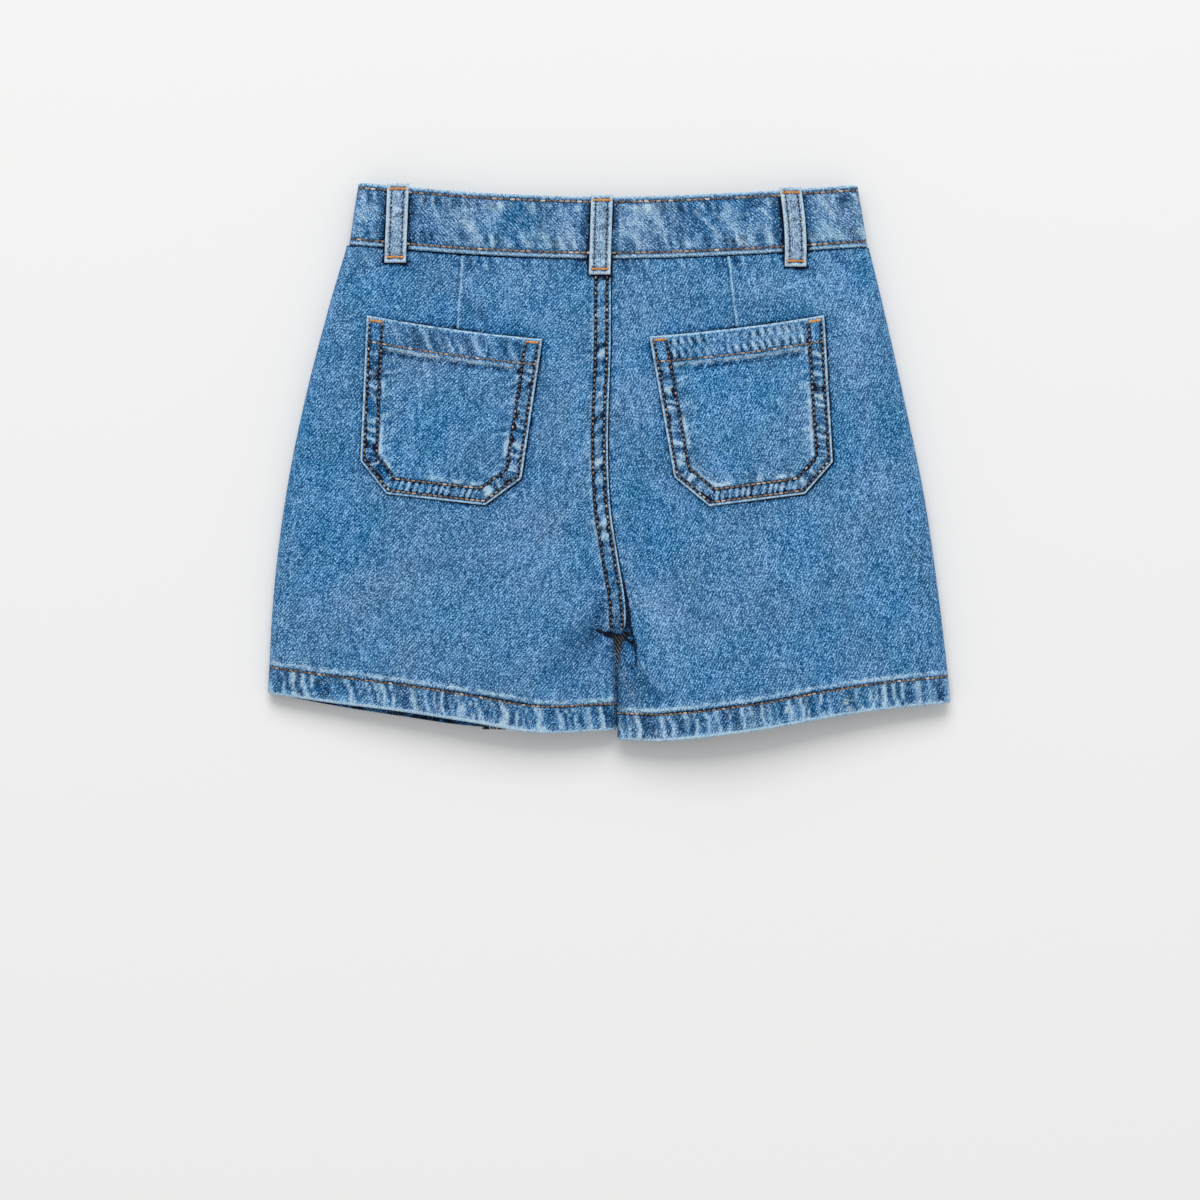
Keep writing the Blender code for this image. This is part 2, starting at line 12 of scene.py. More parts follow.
import bpy
import numpy as np
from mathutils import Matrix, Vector


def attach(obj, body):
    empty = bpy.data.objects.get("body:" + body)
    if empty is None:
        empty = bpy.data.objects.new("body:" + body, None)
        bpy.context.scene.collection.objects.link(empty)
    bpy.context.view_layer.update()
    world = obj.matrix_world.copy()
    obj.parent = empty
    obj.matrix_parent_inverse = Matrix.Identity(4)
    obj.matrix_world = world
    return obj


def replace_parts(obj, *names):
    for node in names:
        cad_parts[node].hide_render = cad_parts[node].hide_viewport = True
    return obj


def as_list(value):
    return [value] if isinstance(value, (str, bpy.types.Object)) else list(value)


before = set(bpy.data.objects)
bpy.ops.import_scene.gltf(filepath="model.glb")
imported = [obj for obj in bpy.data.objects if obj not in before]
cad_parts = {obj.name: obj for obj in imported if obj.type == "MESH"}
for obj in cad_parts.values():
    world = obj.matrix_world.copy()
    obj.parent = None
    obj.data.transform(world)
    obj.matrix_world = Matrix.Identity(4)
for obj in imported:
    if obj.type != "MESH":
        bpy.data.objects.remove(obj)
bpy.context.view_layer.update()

MM = 0.001
SIDE_NAMES = {-1: "left", 1: "right"}
FACE_NAMES = {-1: "front", 1: "back"}


def table(columns, *rows):
    """Rows whose values are read by the names of their columns."""
    row_of = namedtuple("row_of", columns)
    return [row_of(*row) for row in rows]


# ================================================================ the garment's sizes
CLOTH = 1.2                  # one layer of denim
GAP = 0.3                    # between pieces that are sewn or lie together
LAYER = CLOTH + GAP
HEM_DEPTH = 19.6             # turned hem of the legs and of the skirt panel
HEM_STEP = 1.2               # down which a turned hem's second layer sets in
LOOP_CLOTH = 1.6

# The side folds, a row for each section of the garment.
SECTIONS = table(
    "y left right",
    (142.0, -173.4, 171.6),    # waist
    (104.0, -184.8, 181.0),    # hip
    (41.0, -201.2, 195.3),     # seat
    (-22.0, -213.8, 208.4),    # thigh
    (-86.0, -221.9, 217.8),    # leg
    (-155.0, -226.0, 226.0),   # hem
)

# The waistband's top edge, by how far across it is: -1 and 1 are the side folds.
BAND_EDGES = table(
    "across back front",
    (-1.0, 184.2, 184.2),
    (-0.5, 177.4, 174.0),
    (0.0, 174.8, 168.4),
    (0.5, 177.4, 174.0),
    (1.0, 182.6, 182.6),
)

# The hem edges, from the inner leg (0) to the side fold (1).
HEMS = {
    -1: table(
        "across back front skirt",
        (0.0, -177.2, -173.8, -176.2),
        (0.2, -178.6, -175.6, -177.2),
        (0.4, -171.4, -174.4, -176.9),
        (0.6, -164.6, -168.2, -176.9),
        (0.8, -159.2, -161.2, -176.9),
        (1.0, -153.0, -152.6, -176.9),
    ),
    1: table(
        "across back front skirt",
        (0.0, -183.4, -174.0, -176.2),
        (0.12, -184.0, -174.6, -178.0),
        (0.4, -177.0, -172.6, -177.2),
        (0.6, -169.4, -167.4, -169.0),
        (0.8, -163.2, -161.6, -163.0),
        (1.0, -159.2, -158.2, -159.4),
    ),
}

# Height of the back's outer face above the surface, from the waist (0) down to the hem (1).
ACROSS_OF_HEIGHTS = (-1.0, -0.45, 0.0, 0.35, 1.0)
HEIGHTS = table(
    "down left_fold left_leg middle right_leg right_fold",
    (0.00, 15.0, 15.0, 15.0, 15.0, 15.0),
    (0.15, 15.5, 17.2, 16.6, 17.4, 15.6),
    (0.35, 14.5, 20.0, 18.2, 20.4, 15.0),
    (0.60, 12.6, 20.0, 18.6, 21.4, 14.0),
    (0.80, 11.2, 19.2, 18.0, 22.0, 13.0),
    (1.00, 10.0, 18.8, 16.6, 22.6, 12.0),
)
FRONT_LIFT = 3.0
FRONT_LIFT_LENGTH = 44.0
HEM_LIFT_LENGTH = 12.0

FOLD_ROUND = 7.0
INNER_ROUND = 8.0
CROTCH_Y = -113.0
CROTCH_DIVE = 13.0
HALF_WIDTH = 215.0
TINY = 0.001
FAR = 99.0                   # from any folded edge

# The folded edge of the middle seam's lap, and the lap's width.
MIDDLE_SEAM = table(
    "y edge",
    (136.0, 1.2), (74.0, 1.0), (15.0, -0.8), (-28.0, 0.7), (-62.0, 5.6), (-90.0, 10.2), (CROTCH_Y, 11.4),
)
LAP = 10.2
LAP_STEP = 1.4
LAP_TUCK = 3.0

# The cleft between the legs, below the crotch.
CLEFT = table(
    "y left right",
    (CROTCH_Y, 1.2, 11.4), (-122.0, 2.8, 8.2), (-135.0, 4.2, 5.9), (-190.0, 4.2, 5.3),
)

FREE_SHARE = 0.383           # the skirt panel's free edge, across the left leg
STEP_DOWN = (0.392, 0.455)   # where the left front leg comes down beside it
SKIRT_WIDTH = 280.0

BAND_WIDTH = 41.0
BAND_CLOTH = 2.4
BAND_BACK_Z = 15.6
BAND_FRONT_Z = 2.4
BAND_TOP = (-165.6, 164.3)   # the ends of its top edge and of its seam, across
BAND_SEAM = (-171.8, 170.9)
BAND_OVERLAP = 46.0
BAND_OVER_END = -86.0
BAND_CLIMB = 20.0

# The pockets' corners, clockwise from the top left.
POCKET_CORNERS = {
    -1: [(-159.5, 96.4), (-43.7, 80.6), (-57.6, -11.4), (-81.4, -28.8), (-146.4, -21.4), (-163.7, 0.6)],
    1: [(26.4, 82.4), (141.6, 96.4), (147.2, -0.4), (128.8, -21.4), (65.8, -29.6), (42.8, -10.4)],
}
TOP_LEFT, TOP_RIGHT, LOWER_RIGHT, BOTTOM_RIGHT, BOTTOM_LEFT, LOWER_LEFT = range(6)
POCKET_WIDTH = 116.0
POCKET_HEM = 19.4
POCKET_SIDE = 97.0           # down its straight sides, and then down its cut corners
POCKET_CUT = 24.0
POCKET_SAG = 1.6

# The belt loops. layers is how many layers of a lap lie under the lower end, and bend how far
# the middle stands aside.
LOOPS = table(
    "name face top_x top_y end_x end_y layers bend",
    ("loop_back_left", 1, -138.8, 183.2, -140.8, 131.0, 0, 0.0),
    ("loop_back_centre", 1, -4.6, 175.8, -6.2, 123.0, 1, 0.0),
    ("loop_back_right", 1, 119.2, 180.8, 122.8, 128.4, 0, 1.3),
    ("loop_front_left", -1, -122.0, 178.0, -124.4, 126.0, 0, 0.0),
    ("loop_front_right", -1, 104.0, 175.2, 106.4, 123.2, 0, 0.0),
)
LOOP_WIDTH = 14.2
LOOP_LENGTH = 52.0
LOOP_BOW = 1.1

BUTTON_ACROSS = 17.0
BUTTON_X = -74.0

# ================================================================ sizes of the looks alone
# How far apart a grid's lines are, on plain cloth and along seams, hems and creases.
PITCH, FINE_PITCH = 1.7, 0.85
FRONT_PITCH, FRONT_FINE_PITCH = 3.0, 1.4     # on the front legs, most of which is hidden
SKIRT_PITCH, SKIRT_FINE_PITCH = 2.4, 1.3     # on the skirt panel, the same
SKIRT_STRIP, SKIRT_STRIP_PITCH = 16.0, 1.2   # in a strip along its free edge
BAND_PITCH, BAND_FRONT_PITCH = 1.25, 2.2     # along the waistband, and along its hidden front
BAND_ROW_PITCH = 1.05
BACK_FINE_ROWS = ((136.0, 122.0), (-76.0, -142.0))   # under the waistband, and round the crotch
FRONT_FINE_ROWS = ((-96.0, -140.0),)
INNER_STRIP = 0.066          # of a flat, beside its inner leg, where the columns are fine
CROWDED = 0.45               # rows closer together than this share of the fine pitch are left out
FOLD_ARC = 12.0              # round the fold, from the flat of the back to its side
EDGE_PITCHES = (0.12, 0.3, 0.6, 1.0)   # grid lines beside a folded edge, which is round
EDGE_ROWS = 1.2              # above a hem, where its own close rows are all kept
EDGE_BLUNT = 0.94            # how much of the cloth's half is rounded off at the very edge
SHARP_ANGLE = 55             # faces that meet at more degrees than this look sharp

STITCH = 3.5                 # one stitch of the top stitching, with its gap
THREAD_WIDTH = 1.1
THREAD_HEIGHT = 0.62
THREAD_LIFT = 0.22           # a stitch's middle, above the cloth
PRESSED = 0.22               # thread under the garment is pressed this far into the cloth
PRESSED_MORE = 2.25          # and the cloth under it this many times as far as on the back
HEM_STITCH = 17.6            # from the hem's edge
SEAM_STITCHES = (2.5, 9.9)   # from the folded edge of the middle seam
FREE_STITCHES = (2.6, 12.0)  # from the skirt panel's free edge
BAND_STITCHES = (3.6, 37.2)  # from the waistband's top edge
POCKET_STITCHES = (2.4, 10.6)   # from the pocket's edge
POCKET_HEM_STITCH = 17.2
POCKET_BAR_DROP = 2.9        # a pocket's bar tacks, down from its top edge
LOOP_STITCHES = (-3.9, 3.9)  # from the loop's middle line
BAR_FROM_END = 3.6           # a bar tack, from either end of a belt loop

# The darts, each from its end, under the pocket, up to the waist.
DARTS = {-1: ((-100.5, 84.0), (-97.0, 138.0)), 1: ((84.2, 84.0), (77.9, 137.5))}
DART_Y = 120.0               # where the columns beside a dart are laid out
DART_REACH = (7.0, 3.0)      # of these columns, past its top and past its end

# The flat sizes of the cut pieces in metres, and the areas of the ones that aren't rectangles.
# Those of the leg panels are worked out.
POCKET_FLAT, POCKET_AREA = (0.134, 0.152), 0.0165
SKIRT_FLAT, SKIRT_AREA = (0.32, 0.345), 0.098
BAND_FLAT = (0.72, 0.041)
LOOP_FLAT = (0.0142, 0.058)


# ================================================================ tables and curves
def smooth(keys, values, at):
    """Cubic through the values; past either end it goes on level."""
    keys, values = np.asarray(keys, float), np.asarray(values, float)
    at = np.clip(at, keys[0], keys[-1])
    last = len(keys) - 1
    i = np.clip(np.searchsorted(keys, at) - 1, 0, last - 1)
    span = keys[i + 1] - keys[i]
    t = (at - keys[i]) / span

    def value(j):
        return values[j] if values.ndim == 1 else np.take_along_axis(values, j[None], 0)[0]

    def slope(j):
        before, after = np.maximum(j - 1, 0), np.minimum(j + 1, last)
        return (value(after) - value(before)) / (keys[after] - keys[before]) * span

    rise, start, end = value(i + 1) - value(i), slope(i), slope(i + 1)
    return (value(i) + t * start
            + t * t * (3 * rise - 2 * start - end)
            + t * t * t * (start + end - 2 * rise))


def along(rows, key, column, at):
    """Read a column of a table as a smooth curve through its rows."""
    ordered = sorted(rows, key=lambda row: getattr(row, key))
    return smooth([getattr(row, key) for row in ordered], [getattr(row, column) for row in ordered], at)


def ease(t):
    """0 to 1 with level ends."""
    t = np.clip(t, 0.0, 1.0)
    return t * t * (3.0 - 2.0 * t)


def within(at, low, high, soft, soft_high=None):
    """1 between low and high, softly down to 0 at both."""
    return ease((at - low) / soft) * ease((high - at) / (soft_high or soft))


def mix(a, b, t):
    return a + (b - a) * t


def hump(at, centre, width):
    """1 at the centre, and soft to 0 at about twice the width from it."""
    return np.exp(-((at - centre) / width) ** 2)


def spot(x, y, centre_x, centre_y, wide, high):
    """A hump both ways."""
    return np.exp(-((x - centre_x) / wide) ** 2 - ((y - centre_y) / high) ** 2)


def wander(at, size, seed):
    """An irregular wave along a line, from about -1 to 1, that turns about every size."""
    random = np.random.default_rng(seed)
    total = 0.0
    for share in (1.0, 0.62, 0.37):
        turn = at / (size * share) * math.pi + random.uniform(0, 2 * math.pi)
        total = total + share * np.sin(turn)
    return total / 1.5


def mottle(x, y, size, seed):
    """Soft random patches, from -1 to 1 and about as wide as the size."""
    count = 64
    lattice = np.random.default_rng(seed).uniform(-1, 1, (count, count))
    i, j = np.floor(x / size).astype(int), np.floor(y / size).astype(int)
    across, up = ease(x / size - i), ease(y / size - j)

    def at(a, b):
        return lattice[(i + a) % count, (j + b) % count]

    return mix(mix(at(0, 0), at(1, 0), across), mix(at(0, 1), at(1, 1), across), up)


def beside(path, x, y):
    """How far each place is from a path, left of its way positive, and how far along it."""
    nearest = np.full(np.shape(x), np.inf)
    across, run = np.zeros(np.shape(x)), np.zeros(np.shape(x))
    done = 0.0
    for (ax, ay), (bx, by) in zip(path, path[1:]):
        length = math.hypot(bx - ax, by - ay)
        way_x, way_y = (bx - ax) / length, (by - ay) / length
        t = np.clip((x - ax) * way_x + (y - ay) * way_y, 0, length)
        distance = np.hypot(x - ax - t * way_x, y - ay - t * way_y)
        aside = way_x * (y - ay) - way_y * (x - ax)
        rank = distance - TINY * np.abs(aside)   # at a corner, for the line it is more aside of
        nearer = rank < nearest
        nearest = np.where(nearer, rank, nearest)
        across = np.where(nearer, np.where(aside < 0, -1.0, 1.0) * distance, across)
        run = np.where(nearer, done + t, run)
        done += length
    return across, run


# ================================================================ the garment's lines
def fold_x(side, y):
    return along(SECTIONS, "y", SIDE_NAMES[side], y)


def seam_edge(y):
    return along(MIDDLE_SEAM, "y", "edge", y)


def inner_x(side, y):
    """Where a leg panel ends towards the middle: at the seam, or below it at the inner leg."""
    seam = seam_edge(y) - (LAP if side < 0 else 0.0)
    return np.where(y < CROTCH_Y, along(CLEFT, "y", SIDE_NAMES[side], y), seam)


def waist_y(side, across, face):
    return along(BAND_EDGES, "across", FACE_NAMES[face], side * across) - BAND_WIDTH - GAP


def hem_y(side, across, column):
    return along(HEMS[side], "across", column, across)


def free_edge_x(y):
    return mix(inner_x(-1, y), fold_x(-1, y), FREE_SHARE)


def share_across(side, x, y):
    inner = inner_x(side, y)
    return np.clip((x - inner) / (fold_x(side, y) - inner), 0.0, 1.0)


def back_height(side, x, y):
    """The back's outer face, before the folds at the sides and the inner legs round it."""
    across = share_across(side, x, y)
    top = waist_y(side, across, 1)
    down = (top - y) / (top - hem_y(side, across, "back"))
    row = np.stack([along(HEIGHTS, "down", column, down) for column in HEIGHTS[0]._fields[1:]])
    return smooth(ACROSS_OF_HEIGHTS, row, side * across)


def front_lift(side, x, y):
    """The front's lowest face: flat on the surface, and lifted near the waist."""
    top = waist_y(side, share_across(side, x, y), -1)
    return FRONT_LIFT * ease(1.0 - (top - y) / FRONT_LIFT_LENGTH)


def skirt_thickness(side, across, y):
    hem_line = hem_y(side, across, "skirt") + HEM_DEPTH
    return LAYER + CLOTH * ease((hem_line + HEM_LIFT_LENGTH - y) / HEM_LIFT_LENGTH)


def front_height(side, x, y):
    across = share_across(side, x, y)
    covered = 1.0
    if side < 0:
        covered = ease((STEP_DOWN[1] - across) / (STEP_DOWN[1] - STEP_DOWN[0]))
    return front_lift(side, x, y) + covered * skirt_thickness(side, across, y)


def seam_level(side, x, y, face):
    """Half way between back and front, where their panels meet at the side fold and inner leg."""
    middle = (back_height(side, x, y) + front_lift(side, x, y)) / 2.0
    return middle + face * GAP / 2.0


def crotch_drop(y):
    """How far a panel's inner edge has turned down between the legs: 1 from the crotch on."""
    t = np.clip((CROTCH_Y + CROTCH_DIVE - y) / CROTCH_DIVE, 0.0, 1.0)
    return 1.0 - np.sqrt(1.0 - t * t)


def lap_end(side, face, y):
    """Where a panel's part of the middle seam's lap ends, under or on the other panel's."""
    if side > 0:
        return inner_x(-1, y) + LAP_STEP
    short = LAP_TUCK * crotch_drop(y)
    return inner_x(1, y) - short - (LAP_STEP + 2 * GAP if face < 0 else 0.0)


def pocket_down(side, x, y):
    """Millimetres down from the pocket's top edge, which sags a little."""
    (left_x, left_y), (right_x, right_y) = POCKET_CORNERS[side][:2]
    t = np.clip((x - left_x) / (right_x - left_x), 0.0, 1.0)
    return mix(left_y, right_y, t) - POCKET_SAG * 4 * t * (1 - t) - y


# ================================================================ what wear, sewing and painted light and shade add
DULLEST = 0.75    # the darker wash and painted shade stay lighter than this share of the painted shadow


class Look:
    """What each place on the cloth has of its own.

    rise is along the cloth's normal and lift straight up. press thins the cloth from outside.
    Its pale is rubbed wear, with painted highlight on ridges. Its darker wash is dye, with painted shade in
    creases and troughs. Its nearly black is mostly painted shadow, with dark dye along seams.
    """

    def __init__(self, like):
        self.rise, self.lift, self.press, self.worn, self.dull, self.shadow_and_dye = np.zeros((6, *np.shape(like)))

    def pucker(self, run, strength, pitch, height, seed, colour=0.5, narrow=2):
        """Ridges and troughs side by side along a seam, uneven in length, depth and spacing."""
        phase = run / pitch + 0.5 * wander(run, 2.7 * pitch, seed)
        wave = np.cos(2 * math.pi * phase) + 0.35 * wander(run, 0.45 * pitch, seed + 2)
        strength = strength * np.clip(0.9 + 0.6 * wander(run, 1.9 * pitch, seed + 1), 0.4, 1.5)
        self.rise += height * wave * strength
        self.worn += colour * np.clip(wave, 0, 1.2) ** narrow * strength
        # the troughs are darker: dye kept in them, with painted shade
        self.dull += 1.3 * colour * np.clip(0.1 - wave, 0, 1) * strength

    def rungs(self, run, strength, pitch, height, seed, colour):
        """Nearly even ridges across a narrow strip, as between two rows of stitches."""
        wave = np.cos(2 * math.pi * (run / pitch + 0.2 * wander(run, 3.0 * pitch, seed)))
        strength = strength * np.clip(0.9 + 0.4 * wander(run, 2.2 * pitch, seed + 1), 0.5, 1.2)
        self.spots(wave, strength, height, colour)

    def spots(self, wave, strength, height, colour):
        """A high wave is a pale rubbed ridge, and a low one a trough darkened with painted shadow and kept
        dye.
        """
        self.rise += height * wave * strength
        self.worn += 0.65 * colour * np.clip(1.4 * wave, 0, 1) * strength
        self.shadow_and_dye += 0.85 * colour * np.clip(-2.2 * wave - 0.1, 0, 1) * np.clip(strength, 0, 1)

    def ridge(self, at, centre, width, height, worn=0.0):
        self.rise += height * hump(at, centre, width)
        self.worn += worn * hump(at, centre, width)

    def blotch(self, x, y, size, where, seed, amount):
        """Soft pale and dark spots of the wash."""
        spots = mottle(x, y, size, seed) * where * amount
        self.worn += np.clip(spots, 0, 1)
        self.dull += np.clip(-spots, 0, 1)

    def shade(self, amount, where):
        """Above 0 is pale, for wear and painted highlight; down to -1 is a darker wash with painted shade,
        and below that painted shadow.
        """
        self.worn += max(amount, 0.0) * where
        self.dull += min(max(-amount, 0.0), 1.0) * where
        self.shadow_and_dye += max(-amount - 1.0, 0.0) * where

    def rub(self, where, pale, left=0.0):
        """An edge is rubbed pale, and only this share of its darks, dye and painted shade alike, is left."""
        self.worn += pale * where
        self.dull *= 1.0 - (1.0 - left) * where
        self.shadow_and_dye *= 1.0 - (1.0 - left) * where

    def sewn(self, off, row, where=1.0, dark=1.0):
        """A row of stitches is pressed into the cloth, and is darkened along it by kept dye and by painted
        shade of its groove.
        """
        self.press += 0.2 * hump(off, row, 1.4) * where
        self.shadow_and_dye += dark * hump(off, row, 1.5) * where
        self.worn *= 1.0 - 0.9 * hump(off, row, 1.2) * where


def hem_look(look, up, run, seed):
    """A turned hem: roping in slanted folds, a ridge over its inner edge, a pale folded edge."""
    band = within(up, 0.5, HEM_DEPTH + 0.5, 3.0)
    slant = run + 0.2 * up + 1.5 * mottle(run, up, 9.0, seed + 3)
    for pitch, share in ((8.6, 0.85), (5.3, 0.4)):
        spots = 0.8 + 0.5 * mottle(run, up, 0.8 * pitch, seed + 2)
        look.pucker(slant, band * spots, pitch, 0.3 * share, seed + round(pitch), 1.2 * share, 2.2)
    look.blotch(slant, 0.35 * up, 2.6, band, seed + 5, 0.35)
    look.dull += 0.15 * band * ease((up - 5.0) / 8.0)
    look.pucker(slant, within(up, HEM_DEPTH, HEM_DEPTH + 12.0, 1.0, 11.0), 8.6, 0.1, seed, 0.3)
    blotch = 0.75 + 0.6 * mottle(run, up, 2.2, seed + 4)
    look.ridge(up, HEM_DEPTH + 0.6, 1.9, 0.3)
    look.worn += 0.85 * blotch * hump(up, HEM_DEPTH + 0.9, 1.6)
    look.sewn(up, HEM_STITCH, 1.0, 1.1)
    look.worn += 0.45 * blotch * ease((6.0 - up) / 5.5)
    look.rub(ease((1.9 - up) / 0.9), 0.5 + 0.5 * blotch)


def waist_look(look, down, run, seed):
    """Below the waistband: a thin shadow along the seam and short soft gathers."""
    look.shadow_and_dye += 0.95 * ease((1.5 - down) / 1.2)
    look.pucker(run - 0.3 * down, ease((16.0 - down) / 14.0), 9.0, 0.18, seed, 0.3)


def seam_look(look, side, x, y):
    """The felled middle seam: the left panel's edge lies folded on the right panel."""
    off = seam_edge(y) - x
    above = ease((y - CROTCH_Y) / 6.0)
    if side > 0:
        # On the right panel a painted shadow lies beside the lap's folded edge, wider towards the crotch.
        shadow = 1.5 + 2.0 * ease((-62.0 - y) / 36.0)
        look.shadow_and_dye += above * 1.4 * ease((shadow + off) / shadow + 0.2)
        look.pucker(y, within(-off, 1.0, 8.0, 1.0, 6.0) * above, 9.2, 0.12, 24, 0.3)
        return
    low, high = SEAM_STITCHES
    between = within(off, low, high, 1.2) * above
    rungs = y + 0.5 * off + 2.2 * mottle(x, y, 4.5, 22)
    low_down, lowest = ease((105.0 - y) / 35.0), ease((-40.0 - y) / 30.0)
    look.rungs(rungs, between * (0.3 + 0.6 * low_down - 0.4 * lowest), 9.2, 0.3, 21, 0.92)
    look.blotch(x, y, 3.2, between, 23, 0.5)
    look.dull += between * (0.15 * low_down + 0.25 * lowest)
    look.worn += between * 0.15 * (1.0 - low_down)
    look.worn += above * 0.55 * hump(off, high + 1.9, 0.8) * (0.8 + 0.6 * mottle(x, y, 2.5, 26))
    look.pucker(y, within(off, high + 1.5, high + 9.0, 1.5, 7.0) * above, 9.8, 0.12, 21, 0.3)
    for row in SEAM_STITCHES:
        look.sewn(off, row, above, 1.18)
    look.rub(above * ease((1.2 - off) / 0.5), 0.8 + 0.4 * mottle(x, y, 1.8, 27))


def dart_look(look, side, x, y):
    """A dart: a sunk line painted dark as shade, with the fold's pale ridge beside it."""
    across, run = beside(DARTS[side], x, y)
    across, down = -across, DARTS[side][1][1] - y
    sunk = hump(np.where(run > 0, across, FAR), -1.0, 0.9)
    look.rise -= 0.4 * sunk
    look.shadow_and_dye += 0.7 * sunk
    look.ridge(across, 0.7, 0.7, 0.3, 0.8)
    look.dull += 0.75 * hump(across, -4.0, 3.0) * hump(down, 2.0, 8.0)
    look.dull += 0.7 * hump(across, 5.5, 2.5) * hump(down, 4.0, 6.0)


POCKET_SHADOW = (1.6, 3.4)   # beside the pocket's left edge, and beside its right one
POCKET_WASH = {-1: 0.0, 1: 0.08}   # how much paler than the panels the pockets are


def under_pocket_look(look, side, x, y):
    """The panel just outside a pocket's edge lies in its shadow."""
    outline = POCKET_CORNERS[side]
    outside, _ = beside(outline + outline[:1], x, y)
    middle = sum(corner[0] for corner in outline) / len(outline)
    reach = np.where(x > middle, POCKET_SHADOW[1], POCKET_SHADOW[0])
    depth = np.where(pocket_down(side, x, y) < 0, 0.8, 1.3)
    look.shadow_and_dye += depth * ease((reach - outside) / reach)
    look.dull += 0.3 * ease((9.0 - outside) / 9.0) * (0.6 + 0.8 * mottle(x, y, 7.0, 31 + side))


def under_loop_look(look, x, y):
    """The panel round the lower end of a belt loop is in its shadow."""
    for loop in LOOPS:
        if loop.face > 0:
            aside = np.maximum(np.abs(x - loop.end_x) - LOOP_WIDTH / 2.0, 0.0)
            outside = np.hypot(aside, np.maximum(loop.end_y - y, 0.0))
            # makes the painted shadow patchy
            patchy = np.clip(0.6 + 0.8 * mottle(x, y, 5.0, 35), 0, 1)
            look.shadow_and_dye += 1.3 * ease((2.2 - outside) / 2.2)
            look.dull += 0.5 * ease((9.0 - outside) / 8.0) * patchy
            look.shadow_and_dye += 0.8 * ease((6.0 - outside) / 4.0) * patchy


# Soft folds of the back, as lines of two points. rise is negative for a trough, colour is an
# amount of Look.shade: painted shade and shadow in the troughs, painted highlight on the ridges.
# side is 0 on the waistband.
CREASES = table(
    "side from_x from_y to_x to_y width rise colour",
    (-1, -7.6, -111.4, 1.4, -115.2, 1.2, -1.6, -2.8),
    (-1, -2.0, -84.0, -6.6, -109.0, 3.6, -0.9, -0.5),
    (-1, -9.0, -116.0, 1.0, -130.0, 5.0, -0.3, -0.2),
    (-1, -97.0, 108.0, -78.0, 88.0, 2.4, -0.5, -0.5),
    (-1, -70.0, 88.5, -50.0, 84.5, 2.6, -0.4, -0.5),
    (-1, -9.0, -118.0, -24.0, -140.0, 7.0, -0.9, -0.12),
    (-1, -16.0, -100.0, -48.0, -128.0, 8.0, 0.8, 0.10),
    (-1, -22.0, -124.0, -66.0, -150.0, 9.0, -0.6, -0.08),
    (-1, -30.0, -70.0, -100.0, -112.0, 14.0, 0.7, 0.06),
    (-1, -60.0, -48.0, -150.0, -84.0, 16.0, -0.7, -0.05),
    (-1, -12.0, 40.0, -38.0, 8.0, 9.0, 0.5, 0.06),
    (-1, -178.0, 60.0, -192.0, 2.0, 7.0, -0.5, -0.08),
    (1, 26.0, -92.0, 52.0, -140.0, 9.0, 1.0, 0.16),
    (1, 11.0, -116.5, 17.6, -121.5, 1.3, -1.5, -2.8),
    (1, 9.0, -136.0, 12.8, -151.0, 1.6, -0.9, -0.45),
    (1, 17.9, -132.0, 38.0, -152.0, 1.5, 0.6, 0.35),
    (1, 7.5, -138.5, 16.4, -156.0, 1.5, 0.6, 0.35),
    (1, 13.0, -134.0, 32.0, -156.0, 3.0, -0.7, -0.45),
    (1, 7.0, -126.0, 11.0, -140.0, 1.4, 0.4, 0.30),
    (1, 24.0, -140.0, 34.0, -166.0, 5.0, -0.7, -0.10),
    (1, 44.0, -74.0, 110.0, -118.0, 13.0, -0.7, -0.05),
    (1, 72.0, -60.0, 160.0, -96.0, 16.0, 0.7, 0.05),
    (1, 10.0, -36.0, 34.0, -78.0, 7.0, -0.6, -0.10),
    (1, 178.0, 50.0, 190.0, -6.0, 7.0, -0.5, -0.08),
    (0, 31.3, 160.4, 37.7, 150.1, 1.2, 0.35, 0.5),
    (0, 56.6, 165.5, 68.6, 153.5, 1.2, 0.5, 0.7),
    (0, 68.6, 153.5, 74.6, 147.5, 1.2, 0.4, 0.55),
    (0, 60.5, 163.5, 73.5, 155.5, 1.8, -0.4, -0.4),
    (0, 6.8, 169.0, 8.1, 150.1, 1.0, 0.3, 0.6),
    (0, 100.2, 167.1, 107.1, 160.3, 1.2, 0.3, 0.5),
    (0, 143.0, 170.0, 150.0, 158.0, 1.2, 0.3, 0.5),
    (0, -165.8, 165.4, -159.8, 159.4, 1.2, 0.3, 0.5),
    (0, -96.0, 158.0, -88.0, 151.0, 1.4, 0.3, 0.4),
    (0, -118.0, 160.0, -108.0, 156.0, 2.0, -0.3, -0.35),
)


def crease_look(look, side, x, y):
    for crease in CREASES:
        if crease.side == side:
            across, _ = beside(((crease.from_x, crease.from_y), (crease.to_x, crease.to_y)), x, y)
            shape = hump(across, 0.0, crease.width)
            look.lift += crease.rise * shape
            # paints shade and shadow in a trough, and highlight on a ridge
            look.shade(crease.colour, shape)


# Beside the seam's end the right panel folds under along this line, deeper as it goes down, and the fold is
# painted dark as its shadow.
TUCK_LINE = ((7.3, -64.0), (10.8, -86.0), (13.8, -99.0), (14.6, -107.0), (17.4, -120.0), (18.8, -135.0))
TUCK_LENGTH = 72.0
TUCK_DEPTH = 3.2


